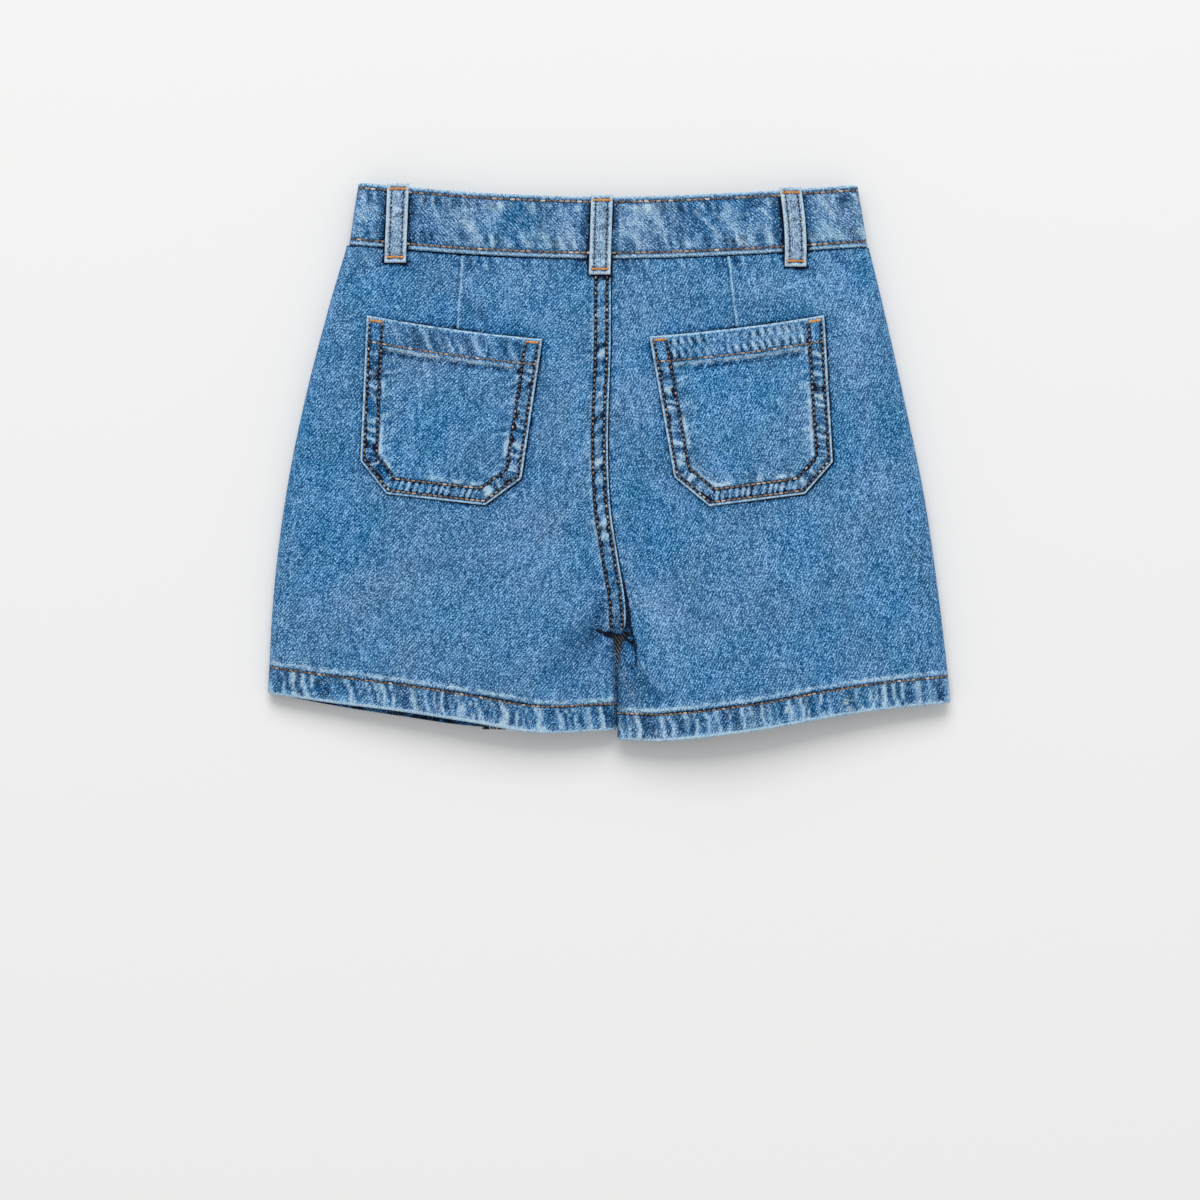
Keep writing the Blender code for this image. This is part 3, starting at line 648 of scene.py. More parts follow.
def tuck_look(look, x, y):
    across, run = beside(TUCK_LINE, x, y)
    depth = TUCK_DEPTH * within(run, 0.0, TUCK_LENGTH + 6.0, 48.0, 14.0)
    depth = depth * ease((y + 141.0) / 6.0) * ease((x - inner_x(1, y)) / 7.0)
    low = ease((0.9 - across) / 1.8)
    slack = hump(np.maximum(across, 0.0), 0.0, 5.0)
    look.lift -= depth * (0.75 * low + 0.25 * slack)
    dark = ease(run / 40.0) * ease((y + 139.0) / 6.0)
    look.shadow_and_dye += dark * 1.3 * hump(across, -0.5, 1.1)
    look.dull += dark * 0.25 * low


# Lighter and darker places of the back: from its washing, with painted light and shade of its soft
# unevenness, and a painted shadow round the crotch.
PATCHES = table(
    "x y wide high shade",
    (-20.0, 134.0, 6.0, 7.0, -0.8),
    (9.5, 135.0, 6.0, 8.0, -0.9),
    (-93.0, 130.0, 5.0, 6.0, -0.5),
    (73.0, 127.0, 5.0, 6.0, -0.5),
    (-128.0, 128.0, 6.0, 7.0, -0.45),
    (134.0, 127.0, 6.0, 6.0, -0.4),
    (108.0, 103.0, 24.0, 5.0, -0.3),
    (-90.0, 98.0, 20.0, 6.0, -0.25),
    (-9.0, 93.0, 8.0, 10.0, 0.25),
    (-9.0, 70.0, 8.0, 8.0, -0.3),
    (-42.0, 87.0, 10.0, 8.0, 0.2),
    (28.0, 90.0, 10.0, 8.0, 0.2),
    (140.0, 102.0, 9.0, 6.0, 0.3),
    (124.0, 117.0, 34.0, 15.0, 0.28),
    (-13.0, 7.0, 8.0, 12.0, 0.25),
    (-4.0, -45.0, 8.0, 14.0, 0.25),
    (-133.0, -84.0, 20.0, 16.0, 0.1),
    (30.0, -100.0, 14.0, 14.0, 0.15),
    (150.0, 60.0, 18.0, 40.0, 0.12),
    (2.5, -113.6, 5.0, 2.0, -3.0),
    (10.5, -113.8, 4.0, 1.8, -3.0),
    (15.0, -150.0, 9.0, 18.0, -0.55),
    (8.0, -124.0, 6.0, 9.0, -0.4),
    (-8.0, -98.0, 6.0, 16.0, -0.45),
    (-16.0, -112.0, 9.0, 12.0, -0.45),
    (-26.0, -132.0, 18.0, 16.0, -0.25),
)


def back_look(side, x, y):
    look = Look(x)
    across = share_across(side, x, y)
    hem_look(look, y - hem_y(side, across, "back"), x, 11 + side)
    waist_look(look, waist_y(side, across, 1) - y, x, 15 + side)
    seam_look(look, side, x, y)
    dart_look(look, side, x, y)
    under_pocket_look(look, side, x, y)
    under_loop_look(look, x, y)
    crease_look(look, side, x, y)
    if side > 0:
        tuck_look(look, x, y)
    for patch in PATCHES:
        look.shade(patch.shade, spot(x, y, patch.x, patch.y, patch.wide, patch.high))
    edge = ease((1.0 - across) * HALF_WIDTH / 12.0)
    look.lift += 0.35 * mottle(x, y, 26.0, 41 + side) + 0.12 * mottle(x, y, 9.0, 43 + side)
    look.lift *= edge * ease(across * HALF_WIDTH / 6.0)
    look.rise *= mix(0.35, 1.0, edge)
    return look


def front_look(side, x, y):
    """A front leg, most of it hidden: its hem, and the painted shadow of the crotch and under the back's
    hem.
    """
    look = Look(x)
    up = y - hem_y(side, share_across(side, x, y), "front")
    hem_look(look, up, x, 51 + side)
    look.rise *= 0.0             # the back lies on it and presses it flat
    look.shadow_and_dye += 0.1 * np.clip(mottle(x, y, 20.0, 53 + side), 0, 1)
    look.shadow_and_dye += spot(x, y, 7.0, CROTCH_Y - 1.0, 9.0, 7.0)
    shaded = ease((4.5 - up) / 1.5)
    look.worn *= 1.0 - shaded
    look.shadow_and_dye += shaded * (0.85 + 0.3 * mottle(x, y, 3.0, 55))
    look.press *= PRESSED_MORE
    return look


# ================================================================ walls of cloth
def level(value):
    """A measure that is the same all over a wall."""
    return lambda u, v: np.full(np.shape(u), value)


class Cloth:
    """A wall over a base surface. face() gives places on its outer side, and wall() its mesh.

    sign, 1 or -1, turns its normals outwards. Its measures are functions of u and v: outer is
    how far its outer side lies over the surface, edge the distance to its nearest folded edge,
    and upright where it has no slope.
    """

    def __init__(self, surface, sign, look, edge, thick=level(CLOTH), outer=level(0.0), upright=None):
        self.surface, self.sign, self.look, self.edge = surface, sign, look, edge
        self.thick, self.outer, self.upright = thick, outer, upright

    def normals(self, u, v):
        step = 0.0005
        along_u = self.surface(u + step, v) - self.surface(u - step, v)
        along_v = self.surface(u, v + step) - self.surface(u, v - step)
        out = np.cross(along_u, along_v) * self.sign
        out /= np.linalg.norm(out, axis=-1, keepdims=True)
        if self.upright is not None:
            out[..., 2] = np.where(self.upright(u, v), 0.0, out[..., 2])
            out /= np.linalg.norm(out, axis=-1, keepdims=True)
        return out

    def dressed(self, u, v):
        """The base surface, its normals, its look, and how far its outer side lies over it."""
        base, out = self.surface(u, v), self.normals(u, v)
        look = self.look(u, v, base)
        return base, out, look, self.outer(u, v) + look.rise - look.press

    def face(self, u, v):
        u, v = np.broadcast_arrays(np.asarray(u, float), np.asarray(v, float))
        base, out, look, high = self.dressed(u, v)
        places = base + out * high[..., None]
        places[..., 2] += look.lift
        return places, out

    def wall(self, name, columns, rows, weave, present=None, turned=None):
        """present says which cells have cloth, and turned which show its right side inside."""
        u, v = np.meshgrid(np.asarray(columns, float), np.asarray(rows, float), indexing="ij")
        base, out, look, high = self.dressed(u, v)
        high, thick = rounded(high, self.thick(u, v) - look.press, self.edge(u, v))
        outside = base + out * high[..., None]
        outside[..., 2] += look.lift
        inside = outside - out * thick[..., None]
        cells = np.ones((len(columns) - 1, len(rows) - 1), bool)
        wrong_side = cells.astype(np.int32)
        if present is not None:
            cells = present(u[:-1, :-1], v[:-1, :-1])
            wrong_side[turned(u[:-1, :-1], v[:-1, :-1])] = 0
        faces, inner_faces = grid_faces(cells, self.sign < 0)
        material_of = np.concatenate((np.zeros(len(faces), np.int32), wrong_side[cells]))
        points = np.concatenate((outside.reshape(-1, 3), inside.reshape(-1, 3)))
        used, every = np.unique(np.concatenate((faces, inner_faces)), return_inverse=True)
        mesh = new_mesh(name, points[used], every.reshape(-1, 4).tolist(), material_of)
        # the darker wash and painted shade, capped, or the painted shadow where that is darker
        dark = np.maximum(np.minimum(look.dull, DULLEST), look.shadow_and_dye)
        mark(mesh, "cloth", np.tile(weave(u, v, base).reshape(-1, 3), (2, 1))[used])
        mark(mesh, "worn", np.tile(np.clip(look.worn, 0, 1).ravel(), 2)[used])
        mark(mesh, "shadow_and_dye", np.tile(np.clip(dark, 0, 1).ravel(), 2)[used])
        return place(name, mesh)


def rounded(high, thick, distance):
    """A folded edge is round: near it both faces come in to the middle of the cloth."""
    half = thick / 2.0
    t = 1.0 - np.clip(distance / half, 0.0, 1.0)
    drop = half * (1.0 - np.sqrt(np.clip(1.0 - t * t, 0.0, 1.0))) * EDGE_BLUNT
    return high - drop, thick - 2.0 * drop


def grid_faces(cells, turned):
    """The outer faces, and the inner faces, of a grid's wall; its rim goes with the outer ones."""
    columns, rows = cells.shape[0] + 1, cells.shape[1] + 1
    count = columns * rows
    index = np.arange(count).reshape(columns, rows)
    corners = np.stack((index[:-1, :-1], index[1:, :-1], index[1:, 1:], index[:-1, 1:]), -1)
    outer, inner = corners[cells], corners[cells][:, ::-1] + count
    framed = np.zeros((columns + 1, rows + 1), bool)
    framed[1:-1, 1:-1] = cells
    neighbours = (framed[1:-1, :-2], framed[2:, 1:-1], framed[1:-1, 2:], framed[:-2, 1:-1])
    rims = []
    for k, neighbour in enumerate(neighbours):
        open_side = corners[cells & ~neighbour]
        start, end = open_side[:, k], open_side[:, (k + 1) % 4]
        rims.append(np.stack((end, start, start + count, end + count), -1))
    outer = np.concatenate([outer] + rims)
    return (outer[:, ::-1], inner[:, ::-1]) if turned else (outer, inner)


def new_mesh(name, points, faces, material_of=None):
    mesh = bpy.data.meshes.new(name)
    mesh.from_pydata((points * MM).tolist(), [], faces)
    if material_of is not None:
        mesh.polygons.foreach_set("material_index", material_of)
    return mesh


def mark(mesh, name, values):
    """Give each point of the mesh a number or, with three columns, a place."""
    kind, key = ("FLOAT_VECTOR", "vector") if values.ndim == 2 else ("FLOAT", "value")
    layer = mesh.attributes.new(name, kind, "POINT")
    layer.data.foreach_set(key, values.astype(np.float32).ravel())


def show(name, data):
    """Put a mesh, a lamp or a camera into the scene."""
    thing = bpy.data.objects.new(name, data)
    bpy.context.scene.collection.objects.link(thing)
    return thing


def place(name, mesh):
    mesh.shade_smooth()
    mesh.set_sharp_from_angle(angle=math.radians(SHARP_ANGLE))
    piece = show(name, mesh)
    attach(piece, "root")
    return piece


def quarter_turn(u):
    """Round a fold: from straight down at -1, past straight out at 0, to straight up at 1."""
    return math.radians(90) * np.clip(u, -1.0, 1.0)


def grain(turn, layer, run=None):
    """Where each place lies in the woven cloth: x across its warp, y along it.

    z is a layer of the weave's noise for each piece, half way between whole ones, where the
    noise is at its fullest.
    """
    angle = math.radians(turn)

    def where(u, v, base):
        x, y = (base[..., 0], base[..., 1]) if run is None else run(u, v, base)
        warp = -x * math.sin(angle) + y * math.cos(angle)
        weft = x * math.cos(angle) + y * math.sin(angle)
        return np.stack((weft, warp, np.full(x.shape, layer + 0.5)), -1)

    return where


def over_fold(side):
    """For grain: the weave goes round the side fold as it lies on the cloth."""
    def run(u, v, base):
        left_out = FOLD_ROUND * np.cos(quarter_turn(u))
        past = FOLD_ARC * np.clip(1.0 - u, 0.0, 2.0)
        return base[..., 0] + side * (past - left_out), base[..., 1]

    return run


def steps(start, end, count):
    return [mix(start, end, i / count) for i in range(count + 1)]


def spread(start, end, pitch):
    """Evenly spaced values from start to end, no further apart than the pitch."""
    return steps(start, end, max(1, math.ceil(abs(end - start) / pitch)))


def edge_lines(length, at=0.0, way=1):
    """Grid lines close to a folded edge at this share of a length."""
    return [at + way * edge_pitch / length for edge_pitch in EDGE_PITCHES]


def both_edges(length):
    return edge_lines(length) + edge_lines(length, 1.0, -1)


def merged(*runs):
    """All of the values in order, without the ones that nearly repeat."""
    values = sorted({round(value, 5) for run in runs for value in run})
    return thinned(values, 1e-4, math.inf)


def thinned(values, least, until):
    """Leave out values that crowd the one before, up to the fine lines along an edge."""
    kept = [values[0]]
    for value in values[1:]:
        if value - kept[-1] > least or value > until:
            kept.append(value)
    return kept


def hem_thickness(length):
    """The cloth down a panel of this length, which is doubled in its turned hem."""
    hem_line = 1.0 - HEM_DEPTH / length
    return lambda u, v: CLOTH * (1.0 + np.clip((v - hem_line) / (HEM_STEP / length), 0.0, 1.0))


def hem_row(cloth, u):
    """The line of a hem's stitches, as places and normals."""
    top, bottom = (cloth.surface(u, np.full(len(u), end))[:, 1] for end in (0.0, 1.0))
    return cloth.face(u, 1.0 - HEM_STITCH / (top - bottom))


# ================================================================ leg panels
SEAM_COLUMN = 3.0
LAP_FROM, LAP_TO = 2.86, 3.14
FLAT_WIDTH = 180.0           # about, of a panel's flat, for the pitch of its columns


def leg_surface(side, face):
    """u goes round the side fold (to 1), over the flat (to 2) and round the inner leg (to 4).

    Above the crotch the inner round ends at 3, and the lap goes from there to 4.
    """
    under_skirt = side > 0 > face
    height = back_height if face > 0 else front_height

    def surface(u, v):
        turn = quarter_turn(u)
        across = 1.0 - FOLD_ROUND * (1.0 - np.cos(turn)) / HALF_WIDTH
        across = across * np.where(u > 1, np.clip(2.0 - u, 0.0, 1.0), 1.0)
        y = mix(waist_y(side, across, face), hem_y(side, across, FACE_NAMES[face]), v)
        inset = skirt_thickness(side, 1.0, y) if under_skirt else 0.0
        round_width = FOLD_ROUND - inset
        from_fold = round_width * (1.0 - np.cos(turn))
        outer, inner = fold_x(side, y) - side * inset, inner_x(side, y)
        on_lap = (u > SEAM_COLUMN) & (y >= CROTCH_Y - TINY)
        inner_turn = np.where(on_lap, 0.0, quarter_turn(SEAM_COLUMN - u))
        flat = mix(outer - side * round_width, inner + side * INNER_ROUND, u - 1)
        lap = mix(inner, lap_end(side, face, y), u - SEAM_COLUMN)
        inner_leg = inner + side * INNER_ROUND * (1.0 - np.cos(inner_turn))
        x = np.where(u <= 1, outer - side * from_fold, np.where(u <= 2, flat, inner_leg))
        x = np.where(on_lap, lap, x)
        z = height(side, x, y)
        z = np.where(u <= 1, mix(seam_level(side, outer, y, face), z, np.sin(turn)), z)
        fall = crotch_drop(y) * (z - seam_level(side, inner, y, face)) * (1.0 - np.sin(inner_turn))
        return np.stack((x, y, np.where(u > 2, z - fall, z)), -1)

    return surface


def leg_rows(side, face, hem, fine, pitch, fine_pitch):
    """Rows from the waist to the hem, closer together in the bands that fine names."""
    top, bottom = waist_y(side, 0.0, face), hem_y(side, 0.0, hem)
    places = spread(top, bottom, pitch)
    for high, low in fine + ((bottom + HEM_DEPTH + 3.0, bottom),):
        places += spread(high, low, fine_pitch)
    places += edge_lines(1.0, bottom)
    places += [CROTCH_Y, bottom + HEM_DEPTH, bottom + HEM_DEPTH - HEM_STEP]
    inside = [y for y in places if bottom - TINY <= y <= top + TINY]
    places = merged([(top - y) / (top - bottom) for y in inside])
    return thinned(places, CROWDED * fine_pitch / (top - bottom), 1.0 - EDGE_ROWS / (top - bottom))


class LegPanel:
    """One leg of the back or the front, from the waist (v is 0) to its hem (1)."""

    def __init__(self, side, face, lap_out, look):
        self.name, self.face = f"{FACE_NAMES[face]}_{SIDE_NAMES[side]}", face
        self.top = waist_y(side, 0.0, face)
        self.length = self.top - hem_y(side, 0.0, FACE_NAMES[face])
        crotch = self.down(CROTCH_Y)

        def outer(u, v):
            return lap_out * LAYER * ease((u - LAP_FROM) / (LAP_TO - LAP_FROM))

        def upright(u, v):
            return (u == 0) | ((u > SEAM_COLUMN - TINY) & (v > crotch - TINY))

        def edge(u, v):
            lap = np.where((u > SEAM_COLUMN) & (lap_out > 0), (4.0 - u) * LAP, FAR)
            return np.minimum((1.0 - v) * self.length, lap)

        self.present = lambda u, v: (u < SEAM_COLUMN - TINY) | (v < crotch - TINY)
        self.cloth = Cloth(leg_surface(side, face), side * face,
                           lambda u, v, base: look(side, base[..., 0], base[..., 1]),
                           edge, hem_thickness(self.length), outer, upright)

    def turned(self, u, v):
        """The turned hem shows the cloth's right side on the inside of the leg."""
        return v > 1.0 - HEM_DEPTH / self.length - TINY

    def down(self, y):
        """The v of a height on the middle seam."""
        return (self.top - y) / self.length

    def wall(self, columns, rows, weave):
        return self.cloth.wall(self.name + "_cloth", columns, rows, weave, self.present, self.turned)


def back_panel(side):
    panel = LegPanel(side, 1, 1.0 if side < 0 else 0.0, back_look)
    (dart_end, _), (dart_top, _) = DARTS[side]
    past_top, past_end = DART_REACH
    start = fold_x(side, DART_Y) - side * FOLD_ROUND
    end = inner_x(side, DART_Y) + side * INNER_ROUND
    near_dart = spread(dart_top - side * past_top, dart_end + side * past_end, FINE_PITCH)
    columns = merged(
        steps(0, 1, 10), spread(1.0, 2.0, PITCH / FLAT_WIDTH), steps(2, 3, 12),
        [1.0 + (x - start) / (end - start) for x in near_dart],
        steps(2.0, 2.0 - INNER_STRIP, 11), [LAP_FROM, mix(LAP_FROM, LAP_TO, 0.25), LAP_TO],
        spread(SEAM_COLUMN, 4.0, 0.8 / LAP), edge_lines(LAP, 4.0, -1))
    rows = leg_rows(side, 1, "back", BACK_FINE_ROWS, PITCH, FINE_PITCH)
    return panel, panel.wall(columns, rows, grain(7.5 * side, 10 + side, over_fold(side)))


def front_panel(side):
    panel = LegPanel(side, -1, 0.0 if side < 0 else -1.0, front_look)
    columns = merged(steps(0, 1, 8), spread(1.0, 2.0, FRONT_PITCH / FLAT_WIDTH), steps(2, 3, 8),
                     [LAP_FROM, LAP_TO], steps(3, 4, 6))
    rows = leg_rows(side, -1, "front", FRONT_FINE_ROWS, FRONT_PITCH, FRONT_FINE_PITCH)
    return panel, panel.wall(columns, rows, grain(-6.0 * side, 14 + side, over_fold(side)))


# ================================================================ skirt panel
def either(on_right, line, *at):
    """What a line of the legs is over the right leg or over the left one."""
    return np.where(on_right, line(1, *at), line(-1, *at))


def skirt_look(u, v, base):
    x, y = base[..., 0], base[..., 1]
    look = Look(x)
    right = x > inner_x(1, y)
    across = either(right, share_across, x, y)
    hem_look(look, y - either(right, hem_y, across, "skirt"), x, 61)
    waist_look(look, either(right, waist_y, across, -1) - y, x, 62)
    off = x - free_edge_x(y)
    low, high = FREE_STITCHES
    between = within(off, low, high, 1.5)
    look.pucker(y + 0.3 * off + mottle(x, y, 4.0, 67), between, 8.8, 0.2, 63, 0.5)
    look.blotch(x, y, 3.2, between, 68, 0.5)
    look.worn += 0.8 * ease((1.4 - off) / 1.1)
    look.worn += 0.3 * hump(off, high + 1.5, 0.9)
    look.rise = np.minimum(look.rise * 0.45, 0.1) - 0.1
    for row in FREE_STITCHES:
        look.sewn(off, row)
    look.press *= PRESSED_MORE
    look.worn += 0.15 * np.clip(mottle(x, y, 24.0, 65), 0, 1)
    look.shadow_and_dye += 0.2 * np.clip(mottle(x, y, 18.0, 66), 0, 1)
    return look


def skirt_surface(u, v):
    """u goes round the right side fold (to 1) and over both legs to the free edge (2)."""
    turn = quarter_turn(u)
    from_fold = FOLD_ROUND * (1.0 - np.cos(turn))
    across = 1.0 - from_fold / HALF_WIDTH
    across = np.where(u > 1, mix(across, -FREE_SHARE, u - 1), across)
    right, across = across > 0, np.abs(across)
    for _ in range(2):
        y = mix(either(right, waist_y, across, -1), either(right, hem_y, across, "skirt"), v)
        fold = fold_x(1, y)
        x = mix(fold - from_fold, free_edge_x(y), np.maximum(u - 1, 0.0))
        right = x > inner_x(1, y)
        across = either(right, share_across, x, y)
    z = either(right, front_lift, x, y)
    z = np.where(u <= 1, mix(seam_level(1, fold, y, -1), z, np.sin(turn)), z)
    return np.stack((x, y, z), -1)


def skirt_panel():
    length = waist_y(1, 0.0, -1) - hem_y(1, 0.0, "skirt")

    def edge(u, v):
        return np.minimum((1.0 - v) * length, np.where(u > 1, (2.0 - u) * SKIRT_WIDTH, FAR))

    cloth = Cloth(skirt_surface, -1, skirt_look, edge, hem_thickness(length), upright=lambda u, v: u == 0)
    near_free_edge = spread(2.0, 2.0 - SKIRT_STRIP / SKIRT_WIDTH, SKIRT_STRIP_PITCH / SKIRT_WIDTH)
    columns = merged(steps(0, 1, 8), spread(1.0, 2.0, SKIRT_PITCH / SKIRT_WIDTH),
                     near_free_edge, edge_lines(SKIRT_WIDTH, 2.0, -1))
    rows = leg_rows(1, -1, "skirt", (), SKIRT_PITCH, SKIRT_FINE_PITCH)
    return cloth, cloth.wall("skirt_front_cloth", columns, rows, grain(-4.0, 21, over_fold(1)))


# ================================================================ waistband
def band_path():
    """The band's middle line, from its outer end round the back to its under end.

    Each of its stations has an x at the band's top edge and at its seam, a z, and a face.
    """
    front, back = BAND_FRONT_Z + BAND_CLOTH / 2.0, BAND_BACK_Z - BAND_CLOTH / 2.0
    centre, radius = (front + back) / 2.0, (back - front) / 2.0
    inset = radius + BAND_CLOTH / 2.0
    half = BAND_TOP[1] - inset
    climb_from = BAND_OVER_END - BAND_CLIMB - 2.0
    climb_to, climb = climb_from + BAND_CLIMB, BAND_CLOTH + GAP
    path = []

    def go(shares, z, face, bulge=0.0):
        for share in shares:
            top_x, seam_x = (mix(left + inset, right - inset, (share + 1) / 2) + bulge
                             for left, right in (BAND_TOP, BAND_SEAM))
            path.append((top_x, seam_x, z, face))

    def bend(side, count=15):
        for i in range(1, count):
            angle = side * math.radians(-90 + 180 * i / count)
            rise = centre + radius * math.sin(angle)
            go([float(side)], rise, math.sin(angle), side * radius * math.cos(angle))

    go(spread(BAND_OVER_END / half, 1.0, BAND_FRONT_PITCH / half), front, -1.0)
    bend(1)
    go(spread(1.0, -1.0, BAND_PITCH / half), back, 1.0)
    bend(-1)
    go(spread(-1.0, climb_from / half, BAND_FRONT_PITCH / half), front, -1.0)
    for t in steps(0, 1, 10)[1:]:
        go([(climb_from + t * BAND_CLIMB) / half], front + climb * ease(t), -1.0)
    under_end = (BAND_OVER_END + BAND_OVERLAP) / half
    go(spread(climb_to / half, under_end, BAND_FRONT_PITCH / half)[1:], front + climb, -1.0)
    return path


BAND = dict(zip(("top_x", "seam_x", "z", "face"), np.array(band_path()).T))
BAND["run"] = np.concatenate(([0.0], np.cumsum(np.hypot(np.diff(BAND["top_x"]), np.diff(BAND["z"])))))
BAND_LAST = len(BAND["run"]) - 1


def on_band(column, u):
    """What the path has at u, which counts its stations. Its run is the way along it so far."""
    return np.interp(u, np.arange(BAND_LAST + 1), BAND[column])


def band_surface(u, v):
    """v goes from the top edge (0) to the seam (1)."""
    beyond = np.clip(u, 0, BAND_LAST) - u
    top_x, seam_x = on_band("top_x", u) - beyond, on_band("seam_x", u) - beyond
    across = top_x / np.where(top_x > 0, BAND_TOP[1], -BAND_TOP[0])
    back, front = (along(BAND_EDGES, "across", column, across) for column in ("back", "front"))
    y = mix(front, back, (on_band("face", u) + 1) / 2) - v * BAND_WIDTH
    return np.stack((mix(top_x, seam_x, v), y, on_band("z", u)), -1)


def band_look(u, v, base):
    look = Look(u)
    x, drop, run = base[..., 0], v * BAND_WIDTH, on_band("run", u)
    at_back = on_band("face", u) > 0.5
    look.ridge(drop, 1.6, 0.9, 0.12)
    look.ridge(drop, 39.3, 0.9, 0.25)
    for row, reach, seed in zip(BAND_STITCHES, (11.0, -13.0), (71, 73)):
        strength = within((drop - row) * np.sign(reach), 0.8, abs(reach), 1.5, 7.0)
        look.pucker(run + 0.25 * drop, strength, 9.8, 0.22, seed, 0.5)
    inner = within(drop, 4.0, 37.0, 2.0)
    look.blotch(run + 0.5 * drop, 0.8 * drop, 6.5, inner, 75, 0.55)
    look.blotch(run, drop, 15.0, inner, 76, 0.3)
    look.blotch(run, drop, 3.0, inner, 77, 0.3)
    look.rise += 0.12 * mottle(run + 0.5 * drop, 0.8 * drop, 6.5, 75) * inner
    patchy = np.clip(0.7 + 0.9 * mottle(run, 0.5 * drop, 4.0, 74), 0, 1) * ease((drop - 5.0) / 4.0)
    under_rim = ease((drop - 2.5) / 3.0)
    # Beside each loop the band is painted darker as shade, with a near-black painted shadow along its edge
    # and a patchy one round it.
    for loop in LOOPS:
        on_this_face = at_back if loop.face > 0 else ~at_back
        off = np.abs(x - mix(loop.top_x, loop.end_x, drop / BAND_WIDTH)) - LOOP_WIDTH / 2.0
        shade = ease((8.5 - off) / 7.0) * on_this_face
        look.worn *= 1.0 - 0.8 * shade
        look.dull += 0.7 * shade * under_rim
        look.shadow_and_dye += 1.5 * ease((2.0 - off) / 2.0) * on_this_face * under_rim
        look.shadow_and_dye += 0.76 * ease((7.0 - off) / 5.0) * patchy * on_this_face
        look.rise -= 0.25 * ease((4.0 - off) / 4.0) * on_this_face
    creased = Look(u)
    crease_look(creased, 0, x, base[..., 1])
    look.lift += creased.lift * at_back
    look.worn += creased.worn * at_back
    look.dull += creased.dull * at_back
    for row in BAND_STITCHES:
        look.sewn(drop, row)
    look.rub(ease((2.4 - drop) / 0.9), 0.8, 0.2)
    look.worn += hump(drop, 39.6, 0.9)
    return look


def waistband():
    def edge(u, v):
        run = on_band("run", u)
        ends = np.minimum(run, BAND["run"][-1] - run) + 0.2
        return np.minimum(np.minimum(v, 1.0 - v) * BAND_WIDTH, ends)

    def run(u, v, base):
        return on_band("run", u), -v * BAND_WIDTH

    cloth = Cloth(band_surface, 1, band_look, edge, level(BAND_CLOTH), level(BAND_CLOTH / 2.0))
    rows = merged(both_edges(BAND_WIDTH), spread(0.0, 1.0, BAND_ROW_PITCH / BAND_WIDTH))
    return cloth, cloth.wall("waistband_cloth", range(BAND_LAST + 1), rows, grain(-12.0, 31, run))


# ================================================================ pockets
def pocket_seam_look(look, side, x, y, inside, run, below, blotch):
    """Round a pocket's edge: puckers between the two rows of stitches, and soft ones beyond."""
    low, high = POCKET_STITCHES
    outline = POCKET_CORNERS[side]
    between = within(inside, low, high, 1.0) * below
    slant = run + 0.3 * inside + 1.5 * mottle(x, y, 4.5, 82 + side)
    at_bottom = within(x, outline[BOTTOM_LEFT][0], outline[BOTTOM_RIGHT][0], 6.0) * ease(-y / 6.0)
    look.pucker(slant, between * (1.0 - at_bottom), 8.0, 0.3, 81 + side, 0.8)
    look.rungs(run + 0.3 * inside, between * at_bottom, 4.4, 0.2, 94 + side, 0.95)
    look.blotch(x, y, 2.8, between, 88 + side, 0.5)
    look.worn += POCKET_WASH[side]
    dots = np.clip(2.2 * mottle(x + 0.5 * y, y, 3.4, 95 + side) - 0.3, 0, 1)
    look.shadow_and_dye += 0.82 * dots * between * (1.0 - at_bottom)
    look.dull += 0.12 * between
    further = within(inside, high + 1.0, high + 16.0, 1.5, 13.0) * below
    look.pucker(run - 0.3 * inside, further, 8.0, 0.16, 83 + side, 0.3)
    look.blotch(x, y, 5.0, further, 84 + side, 0.3)
    rubbed = np.clip(0.45 + 0.9 * mottle(run, 0.5 * inside, 7.0, 90 + side), 0, 1.2)
    look.worn += below * blotch * rubbed * hump(inside, high + 2.3, 1.5)


def pocket_hem_look(look, side, x, y, down, middle, blotch):
    """A pocket's turned top hem: leaning puckers on the left one, a chequer on the right one."""
    hem = within(down, 1.5, POCKET_HEM_STITCH, 2.0, 2.5) * middle
    look.dull += 0.1 * hem
    leaning = x - 0.3 * down + 1.2 * mottle(x, y, 9.0, 80 + side)
    few = np.clip(0.8 + 0.6 * mottle(x, y, 14.0, 91 + side), 0.4, 1.2)
    if side < 0:
        look.pucker(leaning, hem * few, 9.8, 0.24, 85, 0.75, 3)
    else:
        chequer = np.cos(2 * math.pi * leaning / 5.2) * np.cos(math.pi * (down - 4.6) / 9.0)
        look.spots(chequer, hem * np.maximum(few, 0.75), 0.16, 1.0)
    look.blotch(leaning, 0.4 * y, 3.0, hem, 79 + side, 0.35)
    look.blotch(x, y, 11.0, hem, 78 + side, 0.3)
    look.ridge(down, POCKET_HEM + 0.3, 0.9, 0.3)
    look.worn += 0.95 * blotch * hump(down, POCKET_HEM + 0.5, 1.2) * middle
    # Below the hem's ridge lies a patchy painted shadow.
    spots = np.clip(0.9 + 1.2 * mottle(x - 0.5 * y, 0.5 * y, 3.2, 87), 0, 1.0)
    look.shadow_and_dye += 0.82 * np.clip(1.3 * hump(down, POCKET_HEM + 3.2, 2.2), 0, 1) * middle * spots


